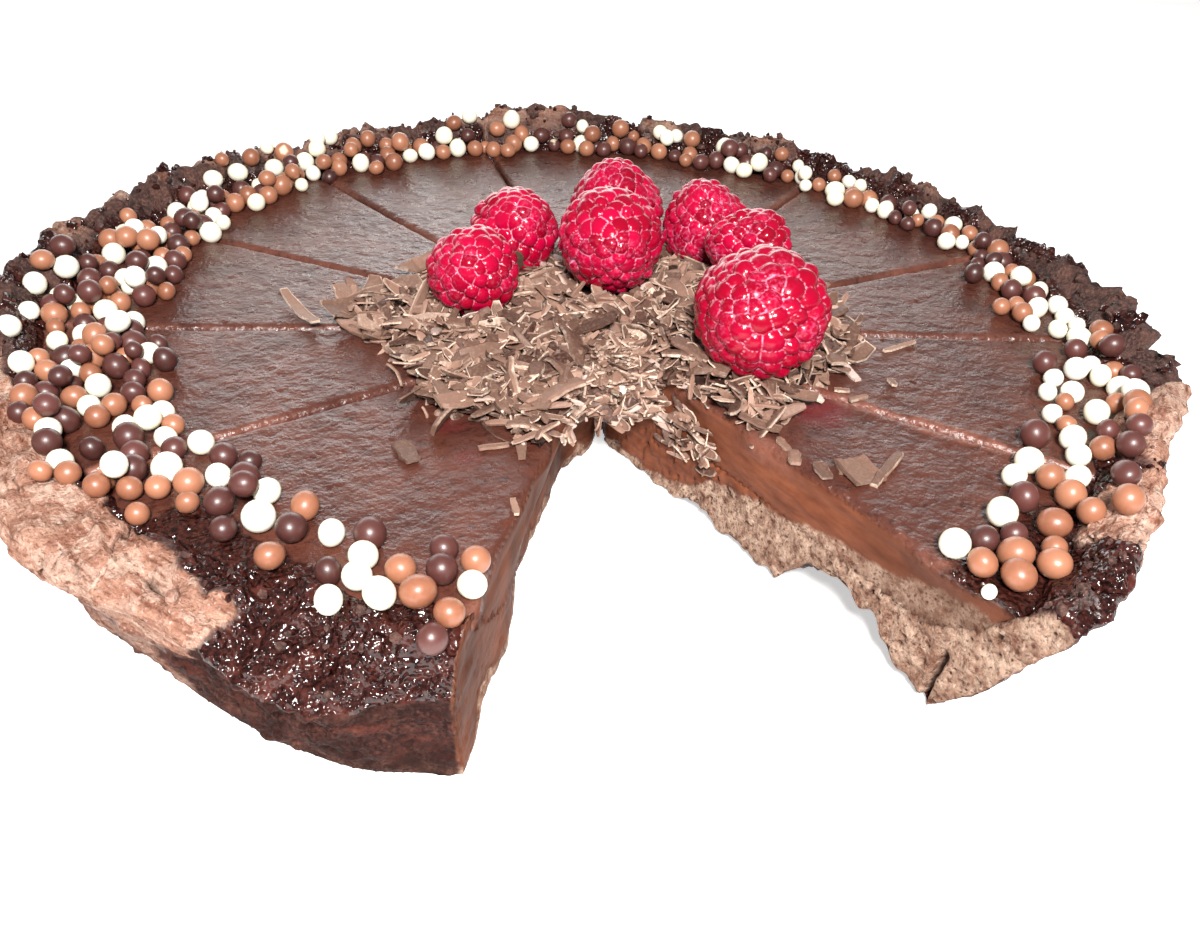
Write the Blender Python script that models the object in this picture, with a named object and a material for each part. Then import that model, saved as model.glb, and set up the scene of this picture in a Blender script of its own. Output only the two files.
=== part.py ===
"""A chocolate tart, cut into eleven slices of which ten are still in place.

Metres, +Z up. The Z axis is the axis of the round tart, which stands on the plane Z = 0,
and the gap of the missing slice opens towards -Y. Each slice is a wedge of crust with a wedge
of ganache lying in it. A low heap of chocolate shavings in the middle carries seven raspberries.
"""

import bmesh
import bpy
from math import atan2, cos, degrees, pi, radians, sin, sqrt
from mathutils import Matrix, Vector

MM = 0.001

# Heights of the tart.
FLOOR_HEIGHT = 15.0 * MM
FILLING_HEIGHT = 28.0 * MM
CLEARANCE = 0.3 * MM

# The crust's outline. The wall leans out from one base circle, and each station of the rim is
# (angle in degrees, outer radius, height of the crest, width from the filling to the outside).
# Between 200 and 245 degrees the rim has slumped: it is lower there and slopes away outwards.
BASE_RADIUS = 102.5 * MM
RIM_STATIONS = (
    (15, 122.5 * MM, 34.0 * MM, 9.0 * MM),
    (50, 121.5 * MM, 34.5 * MM, 8.0 * MM),
    (85, 122.5 * MM, 35.5 * MM, 8.0 * MM),
    (115, 120.5 * MM, 34.5 * MM, 9.0 * MM),
    (140, 122.0 * MM, 35.0 * MM, 9.0 * MM),
    (165, 121.5 * MM, 33.5 * MM, 10.0 * MM),
    (185, 119.5 * MM, 31.5 * MM, 13.0 * MM),
    (207, 116.5 * MM, 29.0 * MM, 16.0 * MM),
    (222, 111.0 * MM, 27.0 * MM, 13.0 * MM),
    (245, 107.0 * MM, 25.5 * MM, 15.0 * MM),
    (268, 114.0 * MM, 29.0 * MM, 12.0 * MM),
    (293, 121.5 * MM, 33.0 * MM, 9.0 * MM),
    (312, 119.5 * MM, 33.5 * MM, 10.0 * MM),
    (333, 123.5 * MM, 34.0 * MM, 11.0 * MM),
    (350, 123.8 * MM, 34.2 * MM, 10.0 * MM),
)
RIM_LUMPS = 0.6 * MM

# The knife's cuts. They all run from one centre, a little off the tart's own axis, and the
# missing slice lies between the last cut and the first.
CUT_CENTRE = Vector((5.9 * MM, -2.6 * MM, 0.0))
CUT_ANGLES = (292.0, 317.8, 348.5, 372.2, 403.8, 453.7, 480.0, 504.0, 530.6, 560.5, 604.8)
KERF = 0.5 * MM
RAY_STEP = 4.0

# The filling's top edge is rounded where the knife went through.
EDGE_WIDTH = 1.2 * MM
EDGE_DROP = 0.8 * MM

# The heap of shavings: (angle about the cut centre, radius) of its uneven outline.
HEAP_OUTLINE = (
    (292, 47 * MM),
    (302, 53 * MM),
    (313, 47 * MM),
    (335, 54 * MM),
    (358, 57 * MM),
    (376, 53 * MM),
    (405, 46 * MM),
    (435, 38 * MM),
    (455, 35 * MM),
    (488, 50 * MM),
    (508, 46 * MM),
    (522, 62 * MM),
    (534, 53 * MM),
    (545, 44 * MM),
    (577, 50 * MM),
    (588, 44 * MM),
    (605, 52 * MM),
)
HEAP_HEIGHT = 5.0 * MM
HEAP_EDGE = 0.9 * MM
HEAP_STEP = 8.0
HEAP_RINGS = (0.25, 0.5, 0.72, 0.9, 1.0)
HEAP_BRIDGE = 9.0 * MM
HEAP_ROUGHNESS = 0.7 * MM
SOCKET_CLEARANCE = 0.4 * MM

# The raspberries: (x, y, width, length, lowest point, lean of the tip from upright, its heading).
BERRIES = (
    (-20.8 * MM, 6.1 * MM, 18.7 * MM, 19.5 * MM, 29.9 * MM, 55, 250),
    (-7.3 * MM, 28.9 * MM, 19.6 * MM, 20.0 * MM, 29.9 * MM, 35, 275),
    (10.5 * MM, 10.4 * MM, 22.3 * MM, 23.0 * MM, 30.0 * MM, 75, 262),
    (20.0 * MM, 43.5 * MM, 22.0 * MM, 22.0 * MM, 29.7 * MM, 6, 160),
    (37.4 * MM, 26.1 * MM, 20.2 * MM, 22.5 * MM, 29.8 * MM, 12, 200),
    (41.9 * MM, 7.6 * MM, 17.0 * MM, 22.5 * MM, 31.1 * MM, 84, 166),
    (30.4 * MM, -27.4 * MM, 26.2 * MM, 25.0 * MM, 29.9 * MM, 62, 222),
)
DRUPELETS = 80
DRUPELET_BULGE = 0.055
BERRY_TAPER = 0.22
GOLDEN_ANGLE = pi * (3 - sqrt(5))


def clear_scene():
    for scene_object in list(bpy.data.objects):
        bpy.data.objects.remove(scene_object, do_unlink=True)


def make_material(name, colour, roughness):
    material = bpy.data.materials.new(name)
    material.use_nodes = True
    shader = material.node_tree.nodes["Principled BSDF"]
    shader.inputs["Base Color"].default_value = (*colour, 1.0)
    shader.inputs["Roughness"].default_value = roughness
    shader.inputs["Metallic"].default_value = 0.0
    return material


def add_object(name, bm, material):
    """Make the finished mesh an object of the scene, with its faces pointing out."""
    bmesh.ops.recalc_face_normals(bm, faces=bm.faces)
    mesh = bpy.data.meshes.new(name)
    bm.to_mesh(mesh)
    bm.free()
    mesh.materials.append(material)
    made = bpy.data.objects.new(name, mesh)
    bpy.context.scene.collection.objects.link(made)
    return made


def smooth_step(t):
    return t * t * (3 - 2 * t)


def at_station(stations, angle):
    """The values between two stations of a closed ring, blended smoothly by angle in degrees."""
    first = stations[0][0]
    angle = first + (angle - first) % 360
    ring = stations + ((first + 360,) + stations[0][1:],)
    for before, after in zip(ring, ring[1:]):
        if angle <= after[0]:
            share = smooth_step((angle - before[0]) / (after[0] - before[0]))
            return [a + (b - a) * share for a, b in zip(before[1:], after[1:])]
    return list(ring[-1][1:])


def flat_direction(angle):
    """The level unit vector at an angle in degrees."""
    return Vector((cos(radians(angle)), sin(radians(angle)), 0.0))


def distance_to_circle(start, direction, radius):
    """How far a ray from a point inside runs to the circle of this radius about the Z axis."""
    along = start.dot(direction)
    return -along + sqrt(along * along - start.length_squared + radius * radius)


def rim_at(angle):
    """The rim's radius, crest height and width at an angle in degrees, with hand-pressed lumps."""
    radius, crest, width = at_station(RIM_STATIONS, angle)
    turn = radians(angle)
    radius += RIM_LUMPS * (sin(11 * turn) + 0.6 * sin(17 * turn + 1))
    crest += RIM_LUMPS * (0.8 * sin(13 * turn + 2) + 0.6 * sin(19 * turn))
    return radius, crest, width


def rim_where_ray_ends(start, direction):
    """The rim's values where a level ray from inside leaves the tart."""
    reach = distance_to_circle(start, direction, RIM_STATIONS[0][1])
    for _ in range(4):
        end = start + direction * reach
        rim = rim_at(degrees(atan2(end.y, end.x)))
        reach = distance_to_circle(start, direction, rim[0])
    return rim


def crust_profile(radius, crest, width):
    """(radius, height) points from the base up the wall, over the crest and down inside."""
    flare = radius - BASE_RADIUS
    filling_edge = radius - width
    filling_top = FILLING_HEIGHT + 0.6 * MM
    return (
        (BASE_RADIUS, 0.0),
        (BASE_RADIUS + 0.12 * flare, 3 * MM),
        (BASE_RADIUS + 0.45 * flare, 11 * MM),
        (BASE_RADIUS + 0.62 * flare, 18 * MM),
        (radius - 0.8 * MM, crest - 4 * MM),
        (radius, crest - 1.8 * MM),
        (radius - 2.5 * MM, crest),
        (radius - 5.5 * MM, crest + (filling_top - crest) * 0.25),
        (filling_edge, filling_top),
        (filling_edge - 6 * MM, 21 * MM),
        (filling_edge - 14 * MM, FLOOR_HEIGHT + 1.2 * MM),
    )


def ganache_profile(radius, width):
    """(radius, height) points up the filling's outside, a clearance away from the crust."""
    top = FILLING_HEIGHT - EDGE_DROP
    floor_edge = radius - width - 14 * MM
    middle = radius - width - 6 * MM
    rise = (top - 21 * MM) / (FILLING_HEIGHT + 0.6 * MM - 21 * MM)
    return (
        (floor_edge - CLEARANCE, FLOOR_HEIGHT + 1.2 * MM + CLEARANCE),
        (middle - CLEARANCE, 21 * MM + CLEARANCE),
        (middle + rise * 6 * MM - 1.5 * CLEARANCE, top),
    )


def slice_apex(start, end):
    """The slice's own tip: half a kerf inside both of its cuts."""
    half = radians(end - start) / 2
    return CUT_CENTRE + flat_direction((start + end) / 2) * (KERF / 2 / sin(half))


def wedge_mesh(start, end, bottom, top, profile):
    """A wedge between two cuts. Every ray from its tip carries the same profile, from the point
    at the height `bottom` round to the point at the height `top` above the tip."""
    apex = slice_apex(start, end)
    ray_count = round((end - start) / RAY_STEP)
    bm = bmesh.new()
    low_tip = bm.verts.new(apex + Vector((0, 0, bottom)))
    high_tip = bm.verts.new(apex + Vector((0, 0, top)))
    rays = []
    for ray in range(ray_count + 1):
        direction = flat_direction(start + (end - start) * ray / ray_count)
        ring = [low_tip]
        for radius, height in profile(*rim_where_ray_ends(apex, direction)):
            reach = distance_to_circle(apex, direction, radius)
            ring.append(bm.verts.new(apex + direction * reach + Vector((0, 0, height))))
        rays.append(ring + [high_tip])
    for here, after in zip(rays, rays[1:]):
        for i in range(len(here) - 1):
            corners = [here[i], after[i], after[i + 1], here[i + 1]]
            bm.faces.new(list(dict.fromkeys(corners)))
    bm.faces.new(rays[0])
    bm.faces.new(list(reversed(rays[-1])))
    return bm


def make_crust_slice(name, start, end, material):
    bm = wedge_mesh(start, end, 0.0, FLOOR_HEIGHT, crust_profile)
    return add_object(name, bm, material)


def make_ganache_slice(name, start, end, material):
    top = FILLING_HEIGHT - EDGE_DROP
    bm = wedge_mesh(
        start,
        end,
        FLOOR_HEIGHT + CLEARANCE,
        top,
        lambda radius, crest, width: ganache_profile(radius, width),
    )
    bmesh.ops.recalc_face_normals(bm, faces=bm.faces)
    level = [face for face in bm.faces if all(abs(v.co.z - top) < 0.01 * MM for v in face.verts)]
    bmesh.ops.inset_region(
        bm, faces=level, thickness=EDGE_WIDTH, depth=EDGE_DROP, use_even_offset=True
    )
    return add_object(name, bm, material)


def berry_point(unit, width, length):
    """A point of the unit sphere moved to a raspberry's form: wide shoulders, a round tip at +Z
    and a flattened base."""
    spread = width / 2 * (1 - BERRY_TAPER * unit.z - 0.06 * unit.z**2)
    height = length / 2 * (unit.z if unit.z > 0 else unit.z * (1 - 0.18 * unit.z**2))
    return Vector((unit.x * spread, unit.y * spread, height))


def berry_placement(points, berry):
    """The matrix that leans a berry's points over and sets the lowest of them at its height."""
    x, y, _, _, lowest, lean, heading = berry
    axis = Vector((-sin(radians(heading)), cos(radians(heading)), 0.0))
    turn = Matrix.Rotation(radians(lean), 4, axis)
    bottom = min((turn @ point).z for point in points)
    return Matrix.Translation((x, y, lowest - bottom)) @ turn


def make_berry(name, berry, material):
    """A raspberry of six-sided drupelets, whose tops stand proud of the crevices between them."""
    width, length = berry[2:4]
    tops = []
    for i in range(DRUPELETS):
        height = 1 - (2 * i + 1) / DRUPELETS
        turn = i * GOLDEN_ANGLE
        across = sqrt(1 - height * height)
        tops.append(Vector((across * cos(turn), across * sin(turn), height)))
    hull = bmesh.new()
    for top in tops:
        hull.verts.new(top)
    bmesh.ops.convex_hull(hull, input=list(hull.verts))
    bmesh.ops.triangulate(hull, faces=hull.faces)

    bm = bmesh.new()
    raised = {}
    for vert in hull.verts:
        unit = vert.co.normalized()
        raised[vert] = bm.verts.new(berry_point(unit, width, length) * (1 + DRUPELET_BULGE))
    sunk = {}
    for face in hull.faces:
        unit = face.calc_center_median().normalized()
        sunk[face] = bm.verts.new(berry_point(unit, width, length) * (1 - DRUPELET_BULGE))
    for edge in hull.edges:
        first, second = edge.verts
        left, right = edge.link_faces
        bm.faces.new((raised[first], sunk[left], sunk[right]))
        bm.faces.new((raised[second], sunk[right], sunk[left]))
    hull.free()
    made = add_object(name, bm, material)
    points = [vert.co.copy() for vert in made.data.vertices]
    made.data.transform(berry_placement(points, berry))
    return made


def make_berry_socket(name, berry):
    """The smooth cutter that makes room for a berry in the heap."""
    width, length = berry[2:4]
    bm = bmesh.new()
    bmesh.ops.create_uvsphere(bm, u_segments=16, v_segments=10, radius=1.0)
    for vert in bm.verts:
        vert.co = berry_point(vert.co.normalized(), width, length) * (1 + DRUPELET_BULGE)
    points = [vert.co.copy() for vert in bm.verts]
    for vert in bm.verts:
        vert.co += vert.co.normalized() * SOCKET_CLEARANCE
    bmesh.ops.transform(bm, matrix=berry_placement(points, berry), verts=bm.verts)
    socket = add_object(name, bm, None)
    socket.hide_render = True
    socket.display_type = "WIRE"
    return socket


def heap_reach(angle):
    """The heap's outline: its own stations over the slices, a short bridge across the gap."""
    first, last = CUT_ANGLES[0], CUT_ANGLES[-1]
    turned = first + (angle - first) % 360
    if turned > last:
        return HEAP_BRIDGE
    return at_station(HEAP_OUTLINE, turned)[0]


def heap_height(point, share):
    """A domed top with a rough surface, `share` of the way out to the outline."""
    rough = sin(point.x / (3.1 * MM)) * cos(point.y / (2.7 * MM)) + 0.6 * sin(
        (point.x + 2 * point.y) / (4.3 * MM)
    )
    dome = HEAP_EDGE + (HEAP_HEIGHT - HEAP_EDGE) * sqrt(1 - min(1.0, share) ** 2)
    return dome + rough * HEAP_ROUGHNESS * (1 - share * share) * 0.6


def heap_angles():
    """Even steps over the slices and across the gap, with both edges of the gap doubled."""
    first, last = CUT_ANGLES[0], CUT_ANGLES[-1]
    over = round((last - first) / HEAP_STEP)
    angles = [first + (last - first) * i / over for i in range(over + 1)]
    across = first + 360 - last
    return angles + [last + across * share for share in (0.03, 0.25, 0.5, 0.75, 0.97)]


def make_shavings(sockets, material):
    """One low mound on the filling, hollowed where the berries sit in it."""
    floor = FILLING_HEIGHT + CLEARANCE
    bm = bmesh.new()
    middle_low = bm.verts.new(CUT_CENTRE + Vector((0, 0, floor)))
    middle_high = bm.verts.new(CUT_CENTRE + Vector((0, 0, floor + heap_height(CUT_CENTRE, 0))))
    spokes = []
    for angle in heap_angles():
        reach = heap_reach(angle)
        spoke = [middle_high]
        for share in HEAP_RINGS:
            point = CUT_CENTRE + flat_direction(angle) * (reach * share)
            lift = floor + heap_height(point, share)
            spoke.append(bm.verts.new(point + Vector((0, 0, lift))))
        edge = CUT_CENTRE + flat_direction(angle) * reach
        spoke += [bm.verts.new(edge + Vector((0, 0, floor))), middle_low]
        spokes.append(spoke)
    for here, after in zip(spokes, spokes[1:] + spokes[:1]):
        for i in range(len(here) - 1):
            corners = [here[i], here[i + 1], after[i + 1], after[i]]
            bm.faces.new(list(dict.fromkeys(corners)))
    bmesh.ops.triangulate(bm, faces=bm.faces)
    heap = add_object("shavings", bm, material)
    for socket in sockets:
        cut = heap.modifiers.new(socket.name, "BOOLEAN")
        cut.operation = "DIFFERENCE"
        cut.object = socket
    return heap


def main():
    clear_scene()
    crust = make_material("crust", (0.165, 0.082, 0.055), 0.85)
    ganache = make_material("ganache", (0.036, 0.014, 0.010), 0.32)
    raspberry = make_material("raspberry", (0.55, 0.010, 0.035), 0.30)
    shaved = make_material("shavings", (0.110, 0.060, 0.045), 0.60)

    for number, (start, end) in enumerate(zip(CUT_ANGLES, CUT_ANGLES[1:]), 1):
        make_crust_slice(f"crust_slice_{number:02d}", start, end, crust)
        make_ganache_slice(f"ganache_slice_{number:02d}", start, end, ganache)

    sockets = []
    for number, berry in enumerate(BERRIES, 1):
        make_berry(f"raspberry_{number}", berry, raspberry)
        sockets.append(make_berry_socket(f"socket_{number}", berry))
    make_shavings(sockets, shaved)


main()
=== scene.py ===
"""The looks of the chocolate tart: crumbly crust, ganache, raspberries, shavings and sugar pearls.

The script works in millimetres, in the frame of the CAD part: Z up from the plate, the tart's
axis at the origin. Only the finished meshes are written in metres.
"""

import itertools

import bmesh
import bpy
import numpy as np
from mathutils import Matrix, Vector
from mathutils.bvhtree import BVHTree


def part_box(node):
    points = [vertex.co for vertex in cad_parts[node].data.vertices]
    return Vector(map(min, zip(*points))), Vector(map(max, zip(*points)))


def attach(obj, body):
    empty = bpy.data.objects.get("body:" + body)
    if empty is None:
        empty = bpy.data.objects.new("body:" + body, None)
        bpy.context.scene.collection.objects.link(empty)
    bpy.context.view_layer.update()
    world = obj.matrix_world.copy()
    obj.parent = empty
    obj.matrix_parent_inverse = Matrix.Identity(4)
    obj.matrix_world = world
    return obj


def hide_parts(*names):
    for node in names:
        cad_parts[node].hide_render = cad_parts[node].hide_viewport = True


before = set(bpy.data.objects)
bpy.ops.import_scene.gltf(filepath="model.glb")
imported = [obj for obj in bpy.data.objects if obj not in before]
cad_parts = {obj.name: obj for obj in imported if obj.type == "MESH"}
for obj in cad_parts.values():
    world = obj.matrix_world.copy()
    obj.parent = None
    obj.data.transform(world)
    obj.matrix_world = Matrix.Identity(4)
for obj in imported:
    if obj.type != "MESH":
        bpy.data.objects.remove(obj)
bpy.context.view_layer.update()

MM = 0.001

# The knife's cuts, as in the CAD part: one centre, and the angle of each cut in degrees.
CUT_CENTRE = np.array((5.9, -2.6, 0.0))
CUT_ANGLES = (292.0, 317.8, 348.5, 372.2, 403.8, 453.7, 480.0, 504.0, 530.6, 560.5, 604.8)
SLICES = len(CUT_ANGLES) - 1
FILLING_TOP = 28.0

# How much lighter ganache the knife smeared up along each cut, in the order of CUT_ANGLES.
CUT_SMEARS = (0.5, 1.0, 0.35, 0.75, 0.5, 0.15, 0.4, 0.35, 0.6, 0.65, 0.5)

# Mesh sizes. Slices next to the gap are nearest to the viewer and get the finer mesh.
CRUST_VOXEL = 0.85
FINE_CRUST_VOXEL = 0.62
GANACHE_VOXEL = 0.75
HIDDEN_SHARE = 0.05

# Where the bare, light crust begins: (angle, radius). A radius of BEYOND means none there.
BEYOND = 140.0
LIGHT_CRUST = (
    (170, BEYOND),
    (176, 116),
    (184, 109),
    (196, 104),
    (205, 103.5),
    (212, 99.6),
    (222, 101),
    (229, 102),
    (233, 103.5),
    (236, BEYOND),
    (303, BEYOND),
    (306, 110),
    (316, 109.5),
    (318.5, 118),
    (320, 118),
    (322, 112.5),
    (329, 112.5),
    (334, 116),
    (338, BEYOND),
)

# Where the filling's rim is soaked, dark and lumpy beside the gap: (angle, inner radius).
SOAKED_RIM = (
    (212, BEYOND),
    (214, 88),
    (222, 89),
    (232, 91),
    (239, 93),
    (249, 97),
    (252, BEYOND),
    (289, BEYOND),
    (292, 99),
    (300, 97.5),
    (308, 101),
    (318, 105),
    (324, BEYOND),
)

# How much higher than the CAD crust the jagged crest stands: (angle, mm).
CREST_RISE = (
    (0, 0.3),
    (40, 0.6),
    (66, 0.6),
    (75, 1.6),
    (84, 2.2),
    (93, 1.2),
    (102, 0.6),
    (111, 1.2),
    (120, 0.0),
    (130, 0.8),
    (140, 0.8),
    (148, 1.2),
    (156, 1.6),
    (164, 2.2),
    (174, 1.4),
    (184, 0.0),
    (340, 0.0),
    (352, 1.0),
)
# How far outside the CAD crust the crest stands: (angle, mm).
CREST_REACH = (
    (4, 0.0),
    (312, 0.0),
    (318, -1.5),
    (322, -3.2),
    (326, -3.6),
    (330, -2.0),
    (334, 0.5),
    (339, 1.6),
    (342, -2.0),
    (346, 0.0),
    (352, 3.2),
    (358, 1.6),
)

# The sugar pearls' band: (angle, inner radius, outer radius, share of the room that they take).
PEARL_BAND = (
    (150, 94, 115.5, 0.85),
    (164, 90, 115, 0.95),
    (184, 86, 110, 0.95),
    (200, 83, 106, 0.80),
    (214, 80, 101, 0.60),
    (322, 97, 113, 0.62),
    (330, 98, 114, 0.62),
    (342, 99, 115.5, 0.68),
    (352, 100, 113.5, 0.80),
    (362, 101, 113, 0.85),
    (384, 104, 114.5, 0.85),
    (400, 102, 115, 0.75),
    (418, 106, 116, 0.95),
    (442, 108, 116.5, 1.05),
    (460, 107, 116.5, 1.00),
    (480, 102, 116.5, 0.95),
    (498, 98, 117, 0.88),
)
PEARL_DIAMETER = (4.2, 5.4)
FAR_PEARL_DIAMETER = (3.7, 5.3)
PEARL_CROWDING = 1.12
PEARL_KINDS = (("white", 0.31), ("milk", 0.39), ("dark", 0.30))

# The pearls that lie apart at both sides of the gap: (angle, radius) of each, by kind.
FRONT_ANGLES = (215.5, 322.0)
FRONT_PEARLS = {
    "white": (
        (220, 82), (223, 87.5), (231, 84), (236, 86.5), (237, 91), (236.5, 97.5), (240.5, 94.5),
        (248, 88), (297, 97), (305, 98), (312.5, 95.5), (316, 96.5), (320, 104), (316, 105),
    ),
    "milk": (
        (225.5, 81), (228, 93), (240.5, 87.5), (243.5, 92), (246.5, 93.5), (247.5, 83),
        (297, 102), (300.5, 104.5), (298, 107), (307, 105.5), (304, 108), (301.5, 110),
        (315.5, 100.5), (312.5, 105), (310, 109.5), (321, 107), (310.5, 114),
    ),
    "dark": (
        (216, 82), (218, 89), (219.5, 85.5), (221.5, 92.5), (227, 86.5), (234, 91.5), (235, 82),
        (243.5, 81), (244.5, 86), (246.5, 96.5), (300, 99.5), (303.5, 100.5), (309, 99),
        (321.5, 96), (321, 110.5), (316, 112),
    ),
}
# One white pearl sank into the heap where it fills the tip of the gap: its place and radius.
TIP_PEARL = (4.6, -22.4, 25.6, 2.3)
# A fragment of a white one lies on the edge of the right face: its place and radius.
WHITE_FRAGMENT = (45.2, -96.0, 1.3)

# Each raspberry's axis, base to tip: (lean from upright, heading), its drupelets' width, and how
# much of the CAD solid's height it fills.
BERRIES = (
    (55, 250, 3.5, 1.0),
    (35, 275, 3.5, 1.0),
    (75, 262, 3.6, 1.0),
    (6, 160, 3.5, 1.0),
    (12, 200, 3.3, 1.0),
    (84, 166, 3.3, 1.0),
    (62, 222, 4.1, 0.91),
)
GOLDEN_ANGLE = np.pi * (3 - np.sqrt(5))

FLAKE_RIM = 0.16
GAP_TIP_REACH = 20.5
GAP_INSET = 0.4

# Loose flakes on the filling: (x, y, length, width, heading, tone from dark 0 to light 1).
LOOSE_FLAKES = (
    (-39.4, -42.5, 8.0, 3.6, 285, 0.25),
    (-23.2, -61.6, 4.4, 1.3, 270, 0.8),
    (-24.0, -43.7, 5.5, 1.7, 2, 0.7),
    (-19.0, -44.0, 9.0, 2.0, 262, 0.5),
    (44.0, -62.5, 12.0, 2.2, 42, 0.30),
    (32.3, -61.0, 5.0, 2.7, 270, 0.25),
    (28.9, -56.3, 4.2, 2.4, 250, 0.6),
    (28.4, -52.0, 4.0, 1.6, 280, 0.5),
    (51.6, -28.5, 8.6, 2.0, 275, 1.3),
    (67.0, -21.0, 9.0, 1.2, 18, 0.8),
    (78.0, -17.1, 6.0, 1.2, 0, 0.8),
    (58.6, -34.8, 2.5, 1.6, 270, 0.5),
    (49.0, -39.5, 4.0, 1.2, 10, 0.6),
    (47.0, -36.0, 3.0, 1.2, 340, 0.6),
)
# One broad slat with straight sides: (x, y, length, width, heading, tone).
SLATS = ((38.8, -62.4, 7.6, 6.6, 279, 0.45), (36.0, -60.4, 4.0, 1.6, 262, 0.5))
# Big curls of chocolate: (x, y, height above the heap, length, width, heading, tone).
BIG_CURLS = (
    (-57.0, 13.6, 1.6, 17.0, 2.6, 293, 0.7),
    (-41.0, 11.0, 1.6, 24.0, 7.5, 27, 0.35),
    (-44.0, 2.0, 1.4, 14.0, 3.4, 320, 0.6),
    (-30.0, 33.0, 1.2, 12.0, 4.0, 40, 0.7),
    (-1.5, 0.0, 2.0, 19.0, 3.8, 4, 0.45),
    (-5.0, -9.5, 1.9, 25.0, 4.2, 337, 0.10),
    (7.5, -14.5, 2.2, 12.5, 6.8, 322, 0.12),
    (14.0, -2.0, 2.2, 13.0, 5.0, 300, 0.25),
    (-12.0, 12.0, 1.8, 13.0, 4.4, 75, 0.5),
    (-31.5, -21.5, 1.4, 12.0, 2.8, 72, 0.5),
    (-20.0, -16.0, 2.0, 10.0, 3.0, 82, 0.15),
    (-8.0, -20.0, 1.8, 8.0, 4.6, 300, 0.0),
    (-13.0, -31.0, 1.6, 9.0, 4.2, 100, 0.5),
    (34.0, -37.0, 1.4, 14.0, 2.4, 318, 0.5),
    (44.0, 20.0, 1.4, 12.0, 3.2, 35, 0.5),
    (50.0, -4.0, 1.4, 12.0, 3.0, 350, 0.4),
    (20.0, -20.0, 1.8, 9.0, 2.6, 350, 0.3),
)
# Dried scraps of leaf among the berries: (x, y, z, length, width, heading, lean).
LEAF_SCRAPS = (
    (-10.5, 12.2, 38.0, 7.0, 4.0, 80, 60),
    (48.5, 13.5, 38.5, 5.5, 3.0, 200, 30),
    (-8.0, 15.0, 36.0, 5.0, 2.4, 20, 40),
)


# ---------------------------------------------------------------- numbers

def smooth(values, low, high):
    """Rises smoothly from 0 at `low` to 1 at `high`. `low` may be the larger."""
    share = np.clip((values - low) / (high - low), 0.0, 1.0)
    return share * share * (3 - 2 * share)


def between(values, low, high, soft):
    """1 between two bounds, fading to 0 over `soft` outside them."""
    return smooth(values, low - soft, low) * smooth(values, high + soft, high)


def cell_values(cells, seed):
    """A repeatable value from 0 to 1 for every cell with whole-number coordinates."""
    mixed = cells[..., 0] * 73856093 ^ cells[..., 1] * 19349663 ^ cells[..., 2] * 83492791
    mixed = (mixed + seed * 1013904223) & 0x7FFFFFFF
    mixed = ((mixed ^ (mixed >> 15)) * 739982445) & 0x7FFFFFFF
    mixed = ((mixed ^ (mixed >> 12)) * 695872825) & 0x7FFFFFFF
    return ((mixed ^ (mixed >> 15)) & 0xFFFFFF) / 0xFFFFFF


def noise(points, size, seed=0):
    """Smooth noise from -1 to 1 with lumps of about `size`, which may differ by axis."""
    scaled = points / size
    cells = np.floor(scaled).astype(np.int64)
    share = scaled - cells
    share = share * share * (3 - 2 * share)
    total = np.zeros(len(points))
    for corner in itertools.product((0, 1), repeat=3):
        weight = np.where(corner, share, 1 - share).prod(axis=1)
        total += weight * cell_values(cells + np.array(corner), seed)
    return 2 * total - 1


def rough_noise(points, size, seed=0, octaves=3):
    """Several layers of noise, each half the size and strength of the one before."""
    return sum(noise(points, size / 2**i, seed + i) / 2**i for i in range(octaves))


def cell_noise(points, size, seed=0):
    """For scattered spots about `size` apart: the distance to the nearest one as a share of
    that size, and a value from 0 to 1 that belongs to it."""
    scaled = points / size
    cells = np.floor(scaled).astype(np.int64)
    nearest = np.full(len(points), 9.0)
    owner = np.zeros(len(points))
    for corner in itertools.product((-1, 0, 1), repeat=3):
        around = cells + np.array(corner)
        spot = around + np.stack([cell_values(around, seed + i) for i in range(3)], axis=1)
        distance = np.linalg.norm(scaled - spot, axis=1)
        closer = distance < nearest
        owner[closer] = cell_values(around[closer], seed + 3)
        nearest = np.minimum(nearest, distance)
    return nearest, owner


def polar(points):
    """Angles in degrees from 0 to 360, and radii, about the tart's axis."""
    angles = np.degrees(np.arctan2(points[:, 1], points[:, 0])) % 360
    return angles, np.hypot(points[:, 0], points[:, 1])


def on_ring(angles, stations, column=1):
    """The value at each angle, between the stations of a closed ring."""
    keys = [station[0] for station in stations]
    return np.interp(angles, keys, [station[column] for station in stations], period=360)


def along_tart(points, size_round, size_in, size_up, seed=0):
    """Noise in the tart's own directions: round the axis, towards it, and up."""
    angles, radii = polar(points)
    unrolled = np.stack([np.radians(angles) * 110, radii, points[:, 2]], axis=1)
    return noise(unrolled, np.array([size_round, size_in, size_up]), seed)


def cut_frame(points, angle):
    """Distances from a cut's plane, anticlockwise positive, and along the cut."""
    turn = np.radians(angle)
    offset = points[:, :2] - CUT_CENTRE[:2]
    across = offset @ np.array([-np.sin(turn), np.cos(turn)])
    return across, offset @ np.array([np.cos(turn), np.sin(turn)])


# ---------------------------------------------------------------- the frame's own outlines

def node_points(prefix):
    """Every vertex of the CAD nodes with this prefix, in millimetres."""
    names = sorted(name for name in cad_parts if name.startswith(prefix))
    return np.array([v.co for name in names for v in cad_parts[name].data.vertices]) / MM


def outline(points, values, sector=8):
    """(angle, value) stations of the largest value in each sector round the axis."""
    angles, _ = polar(points)
    stations = []
    for start in range(0, 360, sector):
        inside = (angles >= start) & (angles < start + sector)
        if inside.any():
            stations.append((start + sector / 2, values[inside].max()))
    return tuple(stations)


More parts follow.
